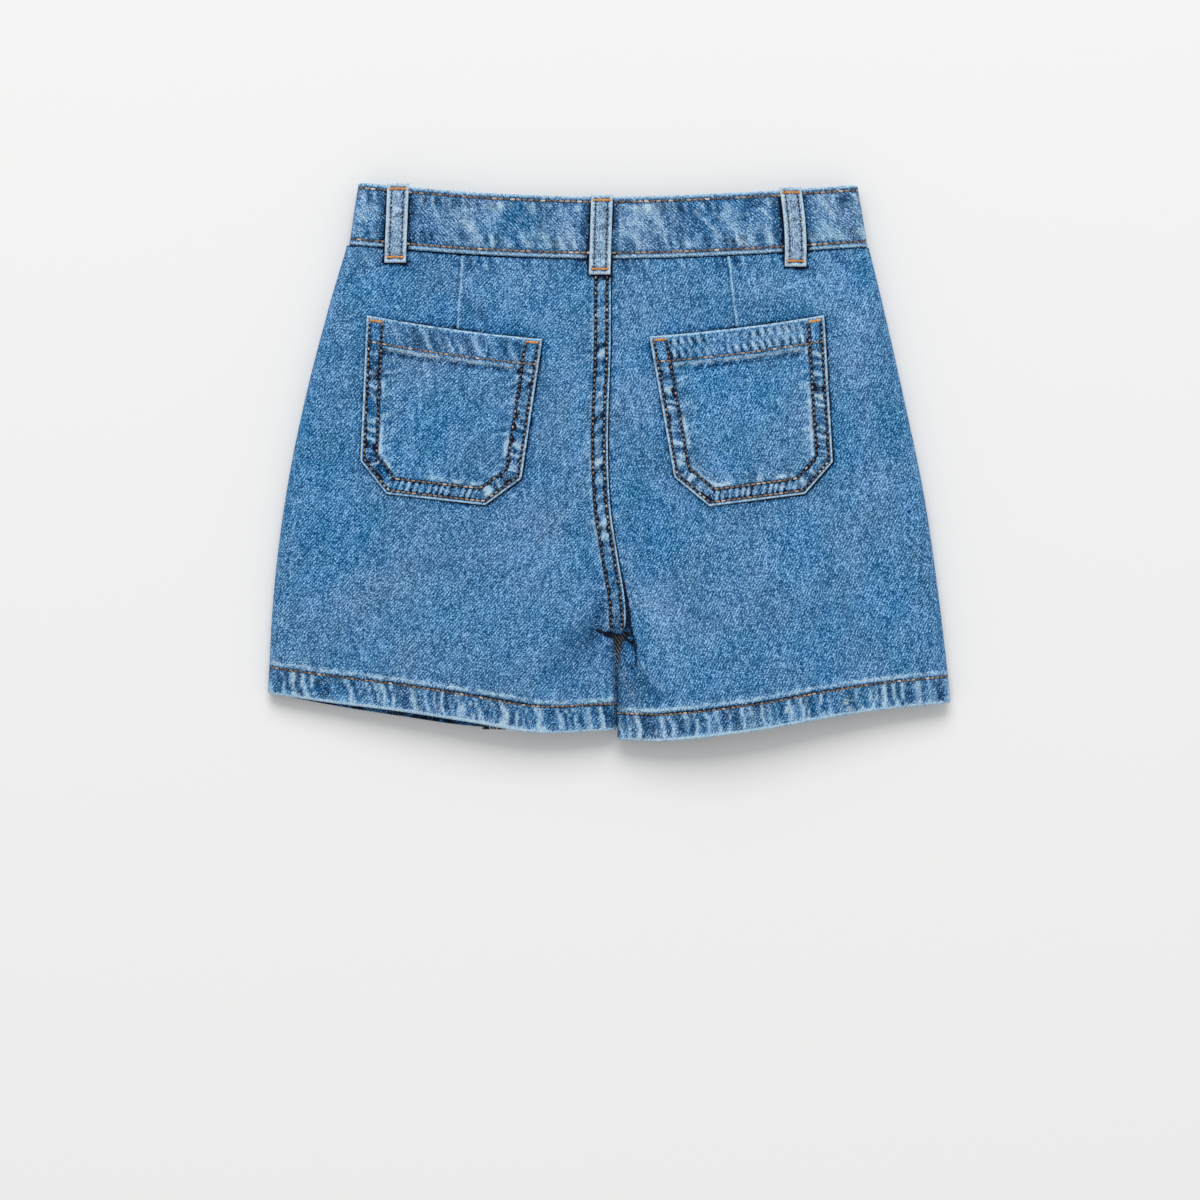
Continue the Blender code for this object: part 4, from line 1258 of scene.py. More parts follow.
def pocket_look(side, x, y):
    look = Look(x)
    outline = POCKET_CORNERS[side]
    inside, run = beside(outline[1:] + outline[:1], x, y)
    inside, down = -inside, pocket_down(side, x, y)
    past_rows = inside - POCKET_STITCHES[1]
    blotch = 0.8 + 0.7 * mottle(x, y, 2.4, 86 + side)
    below = ease((down - POCKET_HEM - 0.5) / 2.0)
    pocket_seam_look(look, side, x, y, inside, run, below, blotch)
    pocket_hem_look(look, side, x, y, down, ease(past_rows / 2.0), blotch)
    for row in POCKET_STITCHES:
        look.sewn(inside, row, ease((down - 3.0) / 1.0), 1.2)
    look.sewn(down, POCKET_HEM_STITCH, 1.0, 0.8)
    rim = np.maximum(ease((1.4 - inside) / 0.5), ease((1.7 - down) / 0.7))
    look.rub(rim, 0.85 + 0.4 * mottle(x, y, 1.8, 77 + side))
    look.rise += 0.25 * mottle(x, y, 20.0, 89 + side) * ease(past_rows / 5.0)
    return look


def pocket_top(side, x, y):
    """The height of a pocket's outer face."""
    hem = 1.0 - np.clip((pocket_down(side, x, y) - POCKET_HEM) / HEM_STEP, 0.0, 1.0)
    soft = back_look(side, x, y).lift
    marks = pocket_look(side, x, y)
    return back_height(side, x, y) + GAP + CLOTH * (1.0 + hem) + soft + marks.rise - marks.press


def pocket(side):
    """u runs across; v runs 0-1 down the straight sides and 1-2 down the cut corners."""
    outline = POCKET_CORNERS[side]

    def edge_at(corners, v):
        ends = np.array([outline[corner] for corner in corners])
        index = np.where(v <= 1, 0, 1)
        return mix(ends[index], ends[index + 1], (v - index)[..., None])

    def surface(u, v):
        left = edge_at((TOP_LEFT, LOWER_LEFT, BOTTOM_LEFT), v)
        right = edge_at((TOP_RIGHT, LOWER_RIGHT, BOTTOM_RIGHT), v)
        places = mix(left, right, u[..., None])
        x = places[..., 0]
        y = places[..., 1] - POCKET_SAG * 4 * u * (1 - u) * (1 - ease(v / 0.4))
        return np.stack((x, y, pocket_top(side, x, y)), -1)

    def down_and_inside(u, v):
        x, y = (surface(u, v)[..., axis] for axis in (0, 1))
        return pocket_down(side, x, y), -beside(outline + outline[:1], x, y)[0]

    def from_edge(u, v):
        down, inside = down_and_inside(u, v)
        return np.minimum(inside, np.abs(down))

    def thick(u, v):
        down, _ = down_and_inside(u, v)
        return CLOTH * (2.0 - np.clip((down - POCKET_HEM) / HEM_STEP, 0.0, 1.0))

    def look(u, v, base):
        """The surface has the look's relief already, so only its colours are left to add."""
        marks = pocket_look(side, base[..., 0], base[..., 1])
        marks.rise *= 0.0
        marks.press *= 0.0
        return marks

    cloth = Cloth(surface, -1, look, from_edge, thick)
    columns = merged(spread(0.0, 1.0, 1.0 / POCKET_WIDTH), both_edges(POCKET_WIDTH))
    rows = merged(edge_lines(POCKET_SIDE), spread(0.0, 1.0, 1.0 / POCKET_SIDE),
                  spread(1.0, 2.0, 1.0 / POCKET_CUT), edge_lines(POCKET_CUT, 2.0, -1))
    return cloth.wall(f"pocket_{SIDE_NAMES[side]}_cloth", columns, rows, grain(-2.5 + 8.0 * side, 40 + side))


# ================================================================ belt loops
def loop_look(u, v, base):
    look = Look(u)
    across, run = (u - 0.5) * LOOP_WIDTH, v * LOOP_LENGTH
    everywhere = np.ones(np.shape(u))
    look.worn += 0.36
    look.ridge(across, 0.0, 1.8, 0.15, 0.15)
    look.blotch(across, run, 3.4, everywhere, 92, 0.5)
    look.pucker(run + across * 0.3, everywhere, 7.5, 0.06, 91, 0.3)
    for row in LOOP_STITCHES:
        look.sewn(across, row, 0.5)
    for end in (run, LOOP_LENGTH - run):
        look.rise += 0.35 * hump(end, 1.2, 1.3)
        look.sewn(end, BAR_FROM_END, 0.8)
        look.worn += 0.8 * ease((2.2 - end) / 0.8)
    look.rub(ease((2.0 - (LOOP_WIDTH / 2.0 - np.abs(across))) / 0.8), 0.9)
    return look


def belt_loop(loop):
    side = 1 if loop.top_x > 0 else -1
    band_z, height, bow = BAND_BACK_Z, back_height, LOOP_BOW
    if loop.face < 0:
        band_z, height, bow = BAND_FRONT_Z, front_lift, LOOP_BOW / 4

    def surface(u, v):
        x = mix(loop.top_x, loop.end_x, v) + (u - 0.5) * LOOP_WIDTH
        x = x + loop.bend * np.sin(math.pi * np.clip(v, 0, 1))
        y = mix(loop.top_y, loop.end_y, v)
        edge = waist_y(side, share_across(side, x, y), loop.face)
        over_band = ease((y - edge + 3.0) / 3.0)
        return np.stack((x, y, mix(height(side, x, y) + loop.layers * LAYER, band_z, over_band)), -1)

    def outer(u, v):
        return GAP + LOOP_CLOTH + bow * ease(np.sin(math.pi * np.clip(v, 0, 1)) * 1.3)

    def edge(u, v):
        return np.minimum(np.minimum(u, 1.0 - u) * LOOP_WIDTH, np.minimum(v, 1.0 - v) * LOOP_LENGTH)

    def look(u, v, base):
        """The front's loops are pressed flat by the garment that lies on them."""
        marks = loop_look(u, v, base)
        if loop.face < 0:
            marks.rise = np.minimum(marks.rise, 0.0)
        return marks

    cloth = Cloth(surface, -loop.face, look, edge, level(LOOP_CLOTH), outer)
    columns = merged(steps(0, 1, 18), both_edges(LOOP_WIDTH))
    rows = merged(steps(0, 1, 64), both_edges(LOOP_LENGTH))
    return cloth, cloth.wall(loop.name + "_cloth", columns, rows, grain(14.0, 50 + round(loop.top_x)))


# ================================================================ thread
def ring(sides):
    """Places round a circle of radius 1."""
    angles = [2 * math.pi * k / sides for k in range(sides)]
    return [(math.cos(angle), math.sin(angle)) for angle in angles]


def tube_faces(rings, sides):
    """The faces between rings of points, and over both ends."""
    faces = []
    for start in range(0, (rings - 1) * sides, sides):
        for k in range(sides):
            a, b = start + k, start + (k + 1) % sides
            faces.append((a, b, b + sides, a + sides))
    faces.append(tuple(reversed(range(sides))))
    faces.append(tuple(range((rings - 1) * sides, rings * sides)))
    return faces


def bead(sides=6):
    """One stitch as a plump little tube, 1 long, 1 wide and 1 high, its ends sunk and closed."""
    ends = ((0.5, 0.35, -0.45), (0.38, 0.85, -0.08))
    rings = [(-x, size, lift) for x, size, lift in ends] + [(0.0, 1.0, 0.0), *reversed(ends)]
    points = [(x, 0.5 * size * across, lift + 0.5 * size * up)
              for x, size, lift in rings for across, up in ring(sides)]
    return np.array(points), tube_faces(len(rings), sides)


def hole(sides=5):
    """The painted shade of the needle hole between two stitches: a dark low cone with a closed base."""
    points = [(0.0, 0.0, 0.0)] + [(0.5 * x, 0.5 * y, -0.35) for x, y in ring(sides)]
    faces = [(0, 1 + k, 1 + (k + 1) % sides) for k in range(sides)]
    faces.append(tuple(reversed(range(1, sides + 1))))
    return np.array(points), faces


def unit(vectors):
    return vectors / np.linalg.norm(vectors, axis=-1, keepdims=True)


def walk(places, normals, pitch):
    """Even steps along a line: where each starts, its way, its normal and its length."""
    lengths = np.linalg.norm(np.diff(places, axis=0), axis=1)
    run = np.concatenate(([0.0], np.cumsum(lengths)))
    at = np.linspace(0, run[-1], max(1, round(run[-1] / pitch)) + 1)
    stops, up = (np.stack([np.interp(at, run, values[:, k]) for k in range(3)], -1)
                 for values in (places, normals))
    way = np.diff(stops, axis=0)
    return stops, up, unit(way), (up[:-1] + up[1:]) / 2, np.linalg.norm(way, axis=1, keepdims=True)


class Thread:
    """Collects stitches along rows, then makes one mesh of them."""

    def __init__(self, name, seed):
        self.name = name
        self.random = np.random.default_rng(seed)
        self.points, self.faces, self.kinds, self.shades, self.twists = [], [], [], [], []
        self.count = 0

    def copies(self, template, centres, way, up, sizes, shades, kind):
        """Copies of a template: x goes along the way, z up from the cloth."""
        points, faces = template
        across = unit(np.cross(unit(up), way))
        up = np.cross(way, across)
        local = points[None] * sizes[:, None]
        placed = (centres[:, None] + local[..., :1] * way[:, None]
                  + local[..., 1:2] * across[:, None] + local[..., 2:] * up[:, None])
        self.points.append(placed.reshape(-1, 3))
        each, copies = len(points), len(centres)
        for start in range(self.count, self.count + each * copies, each):
            self.faces += [tuple(start + k for k in face) for face in faces]
        self.count += each * copies
        self.kinds += [kind] * (len(faces) * copies)
        self.shades.append(np.repeat(shades, each))
        turns = np.stack((points[:, 0] * 3.0, np.arctan2(points[:, 2], points[:, 1])), -1)
        which = np.repeat(np.arange(copies), each)
        self.twists.append(np.column_stack((np.tile(turns, (copies, 1)), which)))

    def row(self, places, normals, pitch=STITCH, width=THREAD_WIDTH, bright=0.0, sunk=0.0):
        """Stitches in a line. Rows that run up and down, towards the light, have rounder ones painted darker
        as shade, and wider holes of painted shade.
        """
        stops, stop_up, way, up, length = walk(places, normals, pitch)
        count = len(way)
        steep = np.abs(way[:, 1:2])
        wide, high = np.full((count, 1), width), np.full((count, 1), THREAD_HEIGHT)
        sizes = np.concatenate((length * (0.90 - 0.40 * steep), wide, high), 1)
        lean = np.cross(up, way) * self.random.normal(0, 0.05, (count, 1))
        middles = (stops[:-1] + stops[1:]) / 2 + up * (THREAD_LIFT - sunk)
        # steep rows are painted darker, as shade
        shades = 0.5 + bright - 0.22 * steep[:, 0] + 0.28 * self.random.normal(size=count)
        self.copies(bead(), middles, way + lean, up, sizes, np.clip(shades, 0, 1), 0)
        ends = stops[1:-1] + stop_up[1:-1] * (THREAD_LIFT - sunk / 2)
        sizes = np.tile((0.7, 1.0, 0.5), (len(ends), 1)) + steep[1:] * (1.1, 0.6, 0.2)
        self.copies(hole(), ends, way[1:], stop_up[1:-1], sizes, np.zeros(len(ends)), 1)

    def bar(self, places, normals, width=2.0, sunk=0.0):
        """A bar tack: short stitches laid close together across the line."""
        stops, _, way, up, length = walk(places, normals, 0.75)
        count = len(way)
        wide = width * self.random.uniform(0.85, 1.1, (count, 1))
        sizes = np.concatenate((wide, length * 1.15, np.full((count, 1), 0.75)), 1)
        shades = np.clip(0.6 + 0.2 * self.random.normal(size=count), 0, 1)
        middles = (stops[:-1] + stops[1:]) / 2 + up * (0.35 - sunk)
        self.copies(bead(), middles, unit(0.35 * way + np.cross(up, way)), up, sizes, shades, 2)

    def finish(self, materials):
        mesh = new_mesh(self.name, np.concatenate(self.points), self.faces, np.array(self.kinds, np.int32))
        mark(mesh, "shade", np.concatenate(self.shades))
        mark(mesh, "twist", np.concatenate(self.twists))
        piece = place(self.name, mesh)
        for material in materials:
            mesh.materials.append(material)
        return piece


def on_top(height, x, y):
    """Places on a height over the garment's plane, with their normals."""
    step = 0.4
    z = height(x, y)
    slope_x, slope_y = (height(x + step, y) - z) / step, (height(x, y + step) - z) / step
    return np.stack((x, y, z), -1), unit(np.stack((-slope_x, -slope_y, np.ones(np.shape(x))), -1))


def inset_corners(outline, distance):
    """The corners of a closed outline, clockwise, moved in by a distance."""
    corners = []
    count = len(outline)
    for i in range(count):
        before, here, after = (Vector(outline[(i + k) % count]) for k in (-1, 0, 1))
        into, away = (here - before).normalized(), (after - here).normalized()
        left, right = Vector((into.y, -into.x)), Vector((away.y, -away.x))
        across = (left + right).normalized()
        corners.append(tuple(here + across * distance / across.dot(left)))
    return corners


def filled(points, pitch=0.8):
    """A line through the points with a place every pitch."""
    x, y = [points[0][0]], [points[0][1]]
    for (ax, ay), (bx, by) in zip(points, points[1:]):
        count = max(1, round(math.hypot(bx - ax, by - ay) / pitch))
        x += list(np.linspace(ax, bx, count + 1)[1:])
        y += list(np.linspace(ay, by, count + 1)[1:])
    return np.array(x), np.array(y)


def pocket_thread(side, materials):
    """Two rows round the pocket, one across under its hem, and a bar at each top corner."""
    thread = Thread(f"thread_pocket_{SIDE_NAMES[side]}", 101 + side)
    outline = POCKET_CORNERS[side]

    def height(x, y):
        return pocket_top(side, x, y)

    def lowered(corner, beyond):
        """The place on this edge where the bar tacks are, below the pocket's top edge."""
        (ax, ay), (bx, by) = corner, beyond
        t = (POCKET_BAR_DROP - float(pocket_down(side, np.array(ax), np.array(ay)))) / (ay - by)
        return mix(ax, bx, t), mix(ay, by, t)

    runs = []
    for distance in POCKET_STITCHES:
        corners = inset_corners(outline, distance)
        run = corners[TOP_RIGHT:] + corners[:TOP_RIGHT]
        run[0], run[-1] = lowered(run[0], run[1]), lowered(run[-1], run[-2])
        thread.row(*on_top(height, *filled(run)))
        runs.append(run)
    for end in (-1, 0):
        thread.bar(*on_top(height, *filled([run[end] for run in runs])), 1.8)
    start, end = (mix(outline[top][0], outline[lower][0],
                      POCKET_HEM_STITCH / (outline[top][1] - outline[lower][1]))
                  for top, lower in ((TOP_LEFT, LOWER_LEFT), (TOP_RIGHT, LOWER_RIGHT)))
    x = np.linspace(start + 0.7, end - 0.7, 120)
    top_y = outline[TOP_LEFT][1]
    y = top_y + pocket_down(side, x, top_y) - POCKET_HEM_STITCH
    thread.row(*on_top(height, x, y))
    return thread.finish(materials)


def hem_thread(seed, panel, materials):
    thread = Thread("thread_hem_" + panel.name, seed)
    u = np.array(merged(spread(0.0, 1.0, 0.1), spread(1.0, 2.0, 0.01), spread(2.0, SEAM_COLUMN, 0.1)))
    sunk = 0.0 if panel.face > 0 else PRESSED
    thread.row(*hem_row(panel.cloth, u), pitch=3.2, width=1.2, bright=-0.1, sunk=sunk)
    return thread.finish(materials)


def seam_thread(panel, materials):
    """Two rows down the felled middle seam, which end at the crotch."""
    thread = Thread("thread_middle_seam", 111)
    y = np.arange(134.0, CROTCH_Y + 1.4, -0.8)
    for off in SEAM_STITCHES:
        u = np.full(len(y), SEAM_COLUMN + (LAP - off) / LAP)
        thread.row(*panel.cloth.face(u, panel.down(y)), pitch=3.6)
    return thread.finish(materials)


def band_thread(cloth, materials):
    thread = Thread("thread_waistband", 113)
    u = np.linspace(0.6, BAND_LAST - 0.6, BAND_LAST * 2)
    for drop in BAND_STITCHES:
        thread.row(*cloth.face(u, drop / BAND_WIDTH), pitch=4.0, width=1.35, bright=-0.08)
    return thread.finish(materials)


def loop_thread(loop, cloth, materials):
    thread = Thread("thread_" + loop.name, 121 + int(abs(loop.top_x)))
    sunk = 0.0 if loop.face > 0 else PRESSED
    ends = (BAR_FROM_END / LOOP_LENGTH, 1.0 - BAR_FROM_END / LOOP_LENGTH)
    for off in LOOP_STITCHES:
        line = cloth.face(0.5 + off / LOOP_WIDTH, np.linspace(*ends, 60))
        thread.row(*line, pitch=3.2, width=0.75, bright=-0.15, sunk=sunk)
    for end in ends:
        thread.bar(*cloth.face(np.linspace(0.09, 0.91, 16), end), 1.7, sunk)
    return thread.finish(materials)


def skirt_thread(cloth, materials):
    thread = Thread("thread_skirt_front", 131)
    u = np.array(merged(spread(0.0, 1.0, 0.1), spread(1.0, 1.99, 0.006)))
    thread.row(*hem_row(cloth, u), sunk=PRESSED)
    for off in FREE_STITCHES:
        thread.row(*cloth.face(2.0 - off / SKIRT_WIDTH, np.linspace(0.01, 0.985, 220)), sunk=PRESSED)
    return thread.finish(materials)


# ================================================================ button
def button(material, sides=64):
    """The head of a shank button, turned: a raised rim round a domed middle."""
    radius = BUTTON_ACROSS / 2.0
    top = BAND_FRONT_Z - GAP - 0.1
    profile = ((0.01, 0.55), (2.2, 0.62), (3.4, 0.85), (4.2, 1.05), (5.2, 0.95), (5.9, 0.55), (6.6, 0.2),
               (7.3, 0.08), (7.9, 0.16), (radius - 0.15, 0.5), (radius, 1.0), (radius - 0.1, 1.45),
               (radius - 0.8, top), (0.01, top))
    edge_y = float(along(BAND_EDGES, "across", "front", BUTTON_X / -BAND_TOP[0]))
    points = [(BUTTON_X + out * x, edge_y - BAND_WIDTH / 2.0 + out * y, z)
              for out, z in profile for x, y in ring(sides)]
    mesh = new_mesh("button_head", np.array(points), tube_faces(len(profile), sides))
    piece = place("button_head", mesh)
    mesh.materials.append(material)
    return piece


# ================================================================ materials
class Value:
    """What a material's nodes work out at each place. Numbers can be added and multiplied."""

    def __init__(self, shader, socket):
        self.shader, self.socket = shader, socket

    def __add__(self, other):
        return self.shader.maths("ADD", self, other)

    def __radd__(self, other):
        return self.shader.maths("ADD", other, self)

    def __mul__(self, other):
        return self.shader.maths("MULTIPLY", self, other)

    def clipped(self):
        """Its last sum or product, kept between 0 and 1."""
        self.socket.node.use_clamp = True
        return self


class Shader:
    """A material under construction: most methods add a node and give its value."""

    def __init__(self, name, **levels):
        self.material = bpy.data.materials.new(name)
        self.material.use_nodes = True
        self.tree = self.material.node_tree
        self.main = self.tree.nodes["Principled BSDF"]
        for words, value in levels.items():
            self.give(self.main, words.replace("_", " "), value)

    def give(self, node, socket, value):
        """Set a socket to a number or a colour, or join it to another node's value."""
        if isinstance(value, Value):
            self.tree.links.new(value.socket, node.inputs[socket])
        else:
            node.inputs[socket].default_value = (*value, 1.0) if isinstance(value, tuple) else value

    def node(self, kind, output, inputs, **settings):
        node = self.tree.nodes.new("ShaderNode" + kind)
        for name, value in settings.items():
            setattr(node, name, value)
        for socket, value in inputs.items():
            self.give(node, socket, value)
        return Value(self, node.outputs[output])

    def attribute(self, name, output="Fac"):
        return self.node("Attribute", output, {}, attribute_name=name)

    def maths(self, operation, a, b=0.0):
        return self.node("Math", 0, {0: a, 1: b}, operation=operation)

    def parts(self, vector):
        first = self.node("SeparateXYZ", 0, {0: vector})
        return [Value(self, output) for output in first.socket.node.outputs]

    def joined(self, x, y, z):
        return self.node("CombineXYZ", 0, {0: x, 1: y, 2: z})

    def noise(self, vector, detail=1.0):
        """Noise from -1 to 1, about one patch for each unit of the vector."""
        inputs = {"Scale": 1.0, "Detail": detail, "Roughness": 0.5, "Vector": vector}
        return self.node("TexNoise", "Fac", inputs) * 2.0 + -1.0

    def turned(self, x, y, angle):
        """Millimetres across, and along, lines that lie at an angle to the weft."""
        sine, cosine = math.sin(math.radians(angle)), math.cos(math.radians(angle))
        return x * -sine + y * cosine, x * cosine + y * sine

    def streaks(self, place_on, angle, wide, long, detail=1.0):
        """Noise in streaks of this width and length, at an angle to the weft."""
        x, y, z = place_on
        across, run = self.turned(x, y, angle)
        layer = z + float(round(angle))
        return self.noise(self.joined(across * (1.0 / wide), run * (1.0 / long), layer), detail)

    def ramp(self, value, stops):
        colour = self.node("ValToRGB", "Color", {0: value})
        elements = colour.socket.node.color_ramp.elements
        while len(elements) < len(stops):
            elements.new(1.0)
        for element, (position, stop) in zip(elements, stops):
            element.position, element.color = position, (*stop, 1.0)
        return colour

    def blend(self, factor, a, b):
        return self.node("Mix", "Result", {"Factor": factor, "A": a, "B": b}, data_type="RGBA")

    def finish(self, colour, height=None, strength=0.0, distance=0.0):
        """Give the material its colour and, in metres, the fine relief of its surface."""
        self.give(self.main, "Base Color", colour)
        if height is not None:
            inputs = {"Strength": strength, "Distance": distance, "Height": height}
            self.give(self.main, "Normal", self.node("Bump", 0, inputs))
        return self.material


TWILL_PITCH = 1.8            # from one diagonal rib of the weave to the next
TWILL_ANGLE = 56.5           # of the ribs, up from the weft
INDIGO = (                   # from the deepest threads to the most worn ones
    (0.00, (0.008, 0.058, 0.158)),
    (0.25, (0.022, 0.104, 0.245)),
    (0.50, (0.064, 0.205, 0.415)),
    (0.75, (0.160, 0.372, 0.650)),
    (1.00, (0.360, 0.610, 0.850)),
)
# what wear and painted highlights blend towards
PALE = (0.520, 0.680, 0.770)
# the near black of painted shadow and of the darkest dye
NAVY = (0.003, 0.008, 0.026)
REVERSE = (
    (0.00, (0.004, 0.006, 0.012)),
    (0.30, (0.080, 0.100, 0.125)),
    (0.55, (0.320, 0.355, 0.380)),
    (1.00, (0.800, 0.830, 0.830)),
)
TOP_STITCHING = (            # copper to cream from stitch to stitch
    (0.00, (0.055, 0.046, 0.048)),
    (0.35, (0.180, 0.122, 0.088)),
    (0.65, (0.395, 0.285, 0.190)),
    (1.00, (0.660, 0.550, 0.470)),
)
BAR_TACKS = (
    (0.00, (0.300, 0.100, 0.022)),
    (0.50, (0.620, 0.260, 0.060)),
    (1.00, (0.800, 0.420, 0.130)),
)
# the near black of the painted shade in the needle holes
NEEDLE_HOLE_SHADE = ((0.0, (0.003, 0.004, 0.010)), (1.0, (0.010, 0.014, 0.030)))
BRASS = ((0.0, (0.300, 0.170, 0.075)), (1.0, (0.560, 0.370, 0.190)))


def twill(shader, angle):
    """The weave's place in millimetres, across and along its warp, and the wave of its ribs."""
    x, y, z = shader.parts(shader.attribute("cloth", "Vector"))
    drift = shader.noise(shader.joined(x * 0.35, y * 0.2, z))
    across, _ = shader.turned(x, y, angle)
    return (x, y, z), shader.maths("SINE", (across + drift * 0.2) * (2 * math.pi / TWILL_PITCH))


def denim(name, shade=0.0, saturation=1.02):
    """Stone-washed denim: the ribs and flecks of its yarns, rubbed pale and dyed dark, with painted
    highlight, painted shade and nearly black painted shadow laid on it.
    """
    shader = Shader(name, Roughness=0.88, Sheen_Weight=0.03, Sheen_Roughness=0.6, Specular_IOR_Level=0.06)
    place_on, wave = twill(shader, TWILL_ANGLE)
    fleck = shader.streaks(place_on, TWILL_ANGLE, 0.55, 0.80)
    slub = shader.streaks(place_on, 90.0, 2.0, 8.0)
    pick = shader.streaks(place_on, 0.0, 1.1, 5.0)
    stroke = shader.streaks(place_on, 138.0, 1.9, 4.6)
    patch = shader.streaks(place_on, 90.0, 17.0, 26.0, 2.0)
    fade = shader.streaks(place_on, 60.0, 34.0, 46.0, 2.0)
    worn, shadow_and_dye = shader.attribute("worn"), shader.attribute("shadow_and_dye")
    rib = wave * (0.14 + fleck * 0.36)
    weave = rib + fleck * 1.50 + slub * 0.28 + pick * 0.16 + stroke * 0.14
    value = weave + patch * 0.17 + worn * 0.34 + shadow_and_dye * -0.40 + (0.445 + shade)
    pale = (worn * (0.12 + worn * 0.54 + fleck * 0.68)).clipped()
    dark = ((shadow_and_dye + -0.68 + fleck * -0.30) * 4.0).clipped()
    colour = shader.blend(dark, shader.blend(pale, shader.ramp(value, INDIGO), PALE), NAVY)
    tint = {"Hue": 0.5 + patch * 0.010, "Saturation": saturation + fade * 0.16, "Color": colour}
    colour = shader.node("HueSaturation", 0, tint)
    return shader.finish(colour, wave * 0.35 + fleck, 0.35, 0.00022)


def reverse(name):
    """The wrong side of the denim, where the pale weft shows and the ribs lean the other way, darkened by
    painted shadow in the crotch.
    """
    shader = Shader(name, Roughness=0.9, Specular_IOR_Level=0.15)
    place_on, wave = twill(shader, 180.0 - TWILL_ANGLE)
    fleck = shader.streaks(place_on, 180.0 - TWILL_ANGLE, 0.62, 0.85)
    value = wave * 0.34 + fleck * 0.7 + 0.52 + shader.attribute("shadow_and_dye") * -0.9
    return shader.finish(shader.ramp(value, REVERSE), wave * 0.5 + fleck, 0.35, 0.00022)


def thread_material(name, stops):
    """Twisted cotton thread."""
    shader = Shader(name, Roughness=0.6, Sheen_Weight=0.2)
    x, y, _ = shader.parts(shader.attribute("twist", "Vector"))
    strands = shader.maths("SINE", x * 5.0 + y)
    value = shader.attribute("shade") + strands * 0.12
    return shader.finish(shader.ramp(value, stops), strands, 0.4, 0.00008)


def hole_material(name):
    shader = Shader(name, Roughness=0.95, Specular_IOR_Level=0.05)
    value = shader.noise(shader.attribute("twist", "Vector")) * 0.5 + 0.5
    return shader.finish(shader.ramp(value, NEEDLE_HOLE_SHADE))


def brass_material(name):
    """Brushed brass, rubbed darker in its low places."""
    shader = Shader(name, Roughness=0.36, Metallic=1.0)
    x, y, z = shader.parts(shader.node("TexCoord", "Object", {}))
    fine = shader.noise(shader.joined(x * 900.0, y * 900.0, z), 3.0)
    return shader.finish(shader.ramp(fine * 0.5 + 0.5, BRASS), fine, 0.15, 0.0001)


def floor_material():
    return Shader("floor", Roughness=0.95, Specular_IOR_Level=0.0).finish((0.88, 0.88, 0.876))


# ================================================================ put together
def dress(piece, node, size, materials, threads, area=None):
    """The piece stands for its node, in denim."""
    for material in materials:
        piece.data.materials.append(material)
    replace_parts(piece, node)
    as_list(threads)


def panel_cut(side, face):
    """The flat size of a leg panel, in metres, with its turned hem, and its flat area."""
    top, bottom = float(waist_y(side, 0.5, face)), float(hem_y(side, 0.5, "back"))
    widths = [abs(float(fold_x(side, y)) - float(inner_x(side, y))) + FOLD_ROUND
              for y in (top, 0.0, bottom)]
    area = (widths[0] + widths[1]) / 2 * top + (widths[1] + widths[2]) / 2 * (HEM_DEPTH - bottom)
    return (max(widths) * MM, (top - bottom + HEM_DEPTH) * MM), area * MM * MM


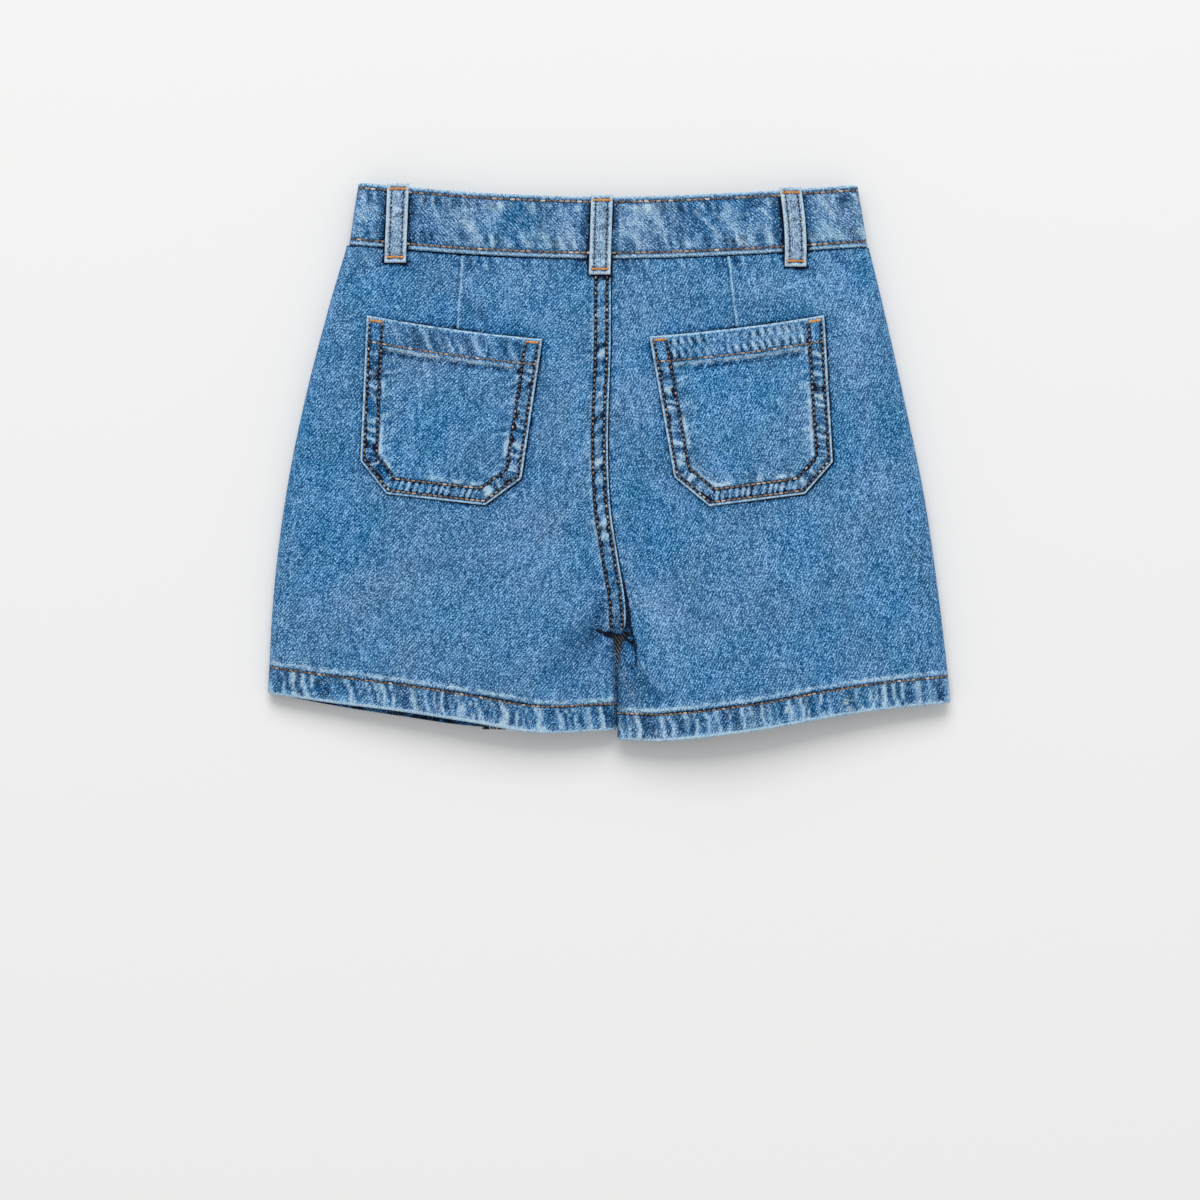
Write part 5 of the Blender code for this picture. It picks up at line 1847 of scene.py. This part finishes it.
def build_garment():
    wrong_side = reverse("denim_reverse")
    outside = (denim("denim_leg"), wrong_side)
    front_outside = (denim("denim_front", -0.03), wrong_side)
    band_outside = (denim("denim_band", -0.035, 0.98),) * 2
    loop_outside = (denim("denim_loop", 0.05, 0.85),) * 2
    sewn = (thread_material("thread", TOP_STITCHING), hole_material("needle_hole_shade"),
            thread_material("thread_bar", BAR_TACKS))

    for side, name in SIDE_NAMES.items():
        back, piece = back_panel(side)
        threads = [hem_thread(141 + side, back, sewn)]
        if side < 0:
            threads.append(seam_thread(back, sewn))
        size, area = panel_cut(side, 1)
        dress(piece, "back_" + name, size, outside, threads, area)
        front, piece = front_panel(side)
        threads = [hem_thread(151 + side, front, sewn)]
        size, area = panel_cut(side, -1)
        dress(piece, "front_" + name, size, front_outside, threads, area)
        piece, threads = pocket(side), [pocket_thread(side, sewn)]
        dress(piece, "pocket_" + name, POCKET_FLAT, outside, threads, POCKET_AREA)

    skirt, piece = skirt_panel()
    threads = [skirt_thread(skirt, sewn)]
    dress(piece, "skirt_front", SKIRT_FLAT, front_outside, threads, SKIRT_AREA)
    band, piece = waistband()
    threads = [band_thread(band, sewn)]
    dress(piece, "waistband", BAND_FLAT, band_outside, threads)
    for loop in LOOPS:
        cloth, piece = belt_loop(loop)
        threads = [loop_thread(loop, cloth, sewn)]
        dress(piece, loop.name, LOOP_FLAT, loop_outside, threads)
    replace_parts(button(brass_material("brass")), "button")


# ================================================================ floor, lamp and camera
FLOOR_HALF = 3000.0
FLOOR_Z = -0.2
LAMP_PLACE = (-0.2, 5.2, 4.7)   # in metres, as are the lamp's sizes and the camera's place
LAMP_SIZE = (5.2, 4.2)
LAMP_POWER = 335.0
SKY = 0.60
LENS, SENSOR = 85.0, 36.0
VIEW_WIDTH = 0.792           # what the camera sees across, at the garment
VIEW_PLACE = (-0.00594, -0.09108, 0.012)


def stage():
    corners = [(-1, -1), (1, -1), (1, 1), (-1, 1)]
    points = np.array([(x * FLOOR_HALF, y * FLOOR_HALF, FLOOR_Z) for x, y in corners])
    mesh = new_mesh("floor", points, [(0, 1, 2, 3)])
    mesh.materials.append(floor_material())
    show("floor", mesh)


def light():
    """A white sky, and one large soft window."""
    world = bpy.data.worlds.new("studio")
    world.use_nodes = True
    background = world.node_tree.nodes["Background"]
    background.inputs["Color"].default_value = (1.0, 1.0, 1.0, 1.0)
    background.inputs["Strength"].default_value = SKY
    bpy.context.scene.world = world
    data = bpy.data.lights.new("window", "AREA")
    data.shape = "RECTANGLE"
    data.size, data.size_y = LAMP_SIZE
    data.energy = LAMP_POWER
    lamp = show("window", data)
    lamp.location = LAMP_PLACE
    lamp.rotation_euler = (-Vector(LAMP_PLACE)).to_track_quat("-Z", "Y").to_euler()


def camera():
    """Straight above the garment, as a photographer's copy stand holds it."""
    data = bpy.data.cameras.new("camera")
    data.lens, data.sensor_width = LENS, SENSOR
    view = show("camera", data)
    x, y, z = VIEW_PLACE
    view.location = (x, y, z + VIEW_WIDTH * LENS / SENSOR)
    bpy.context.scene.camera = view


build_garment()
stage()
light()
camera()
bpy.context.scene.view_settings.view_transform = "Standard"
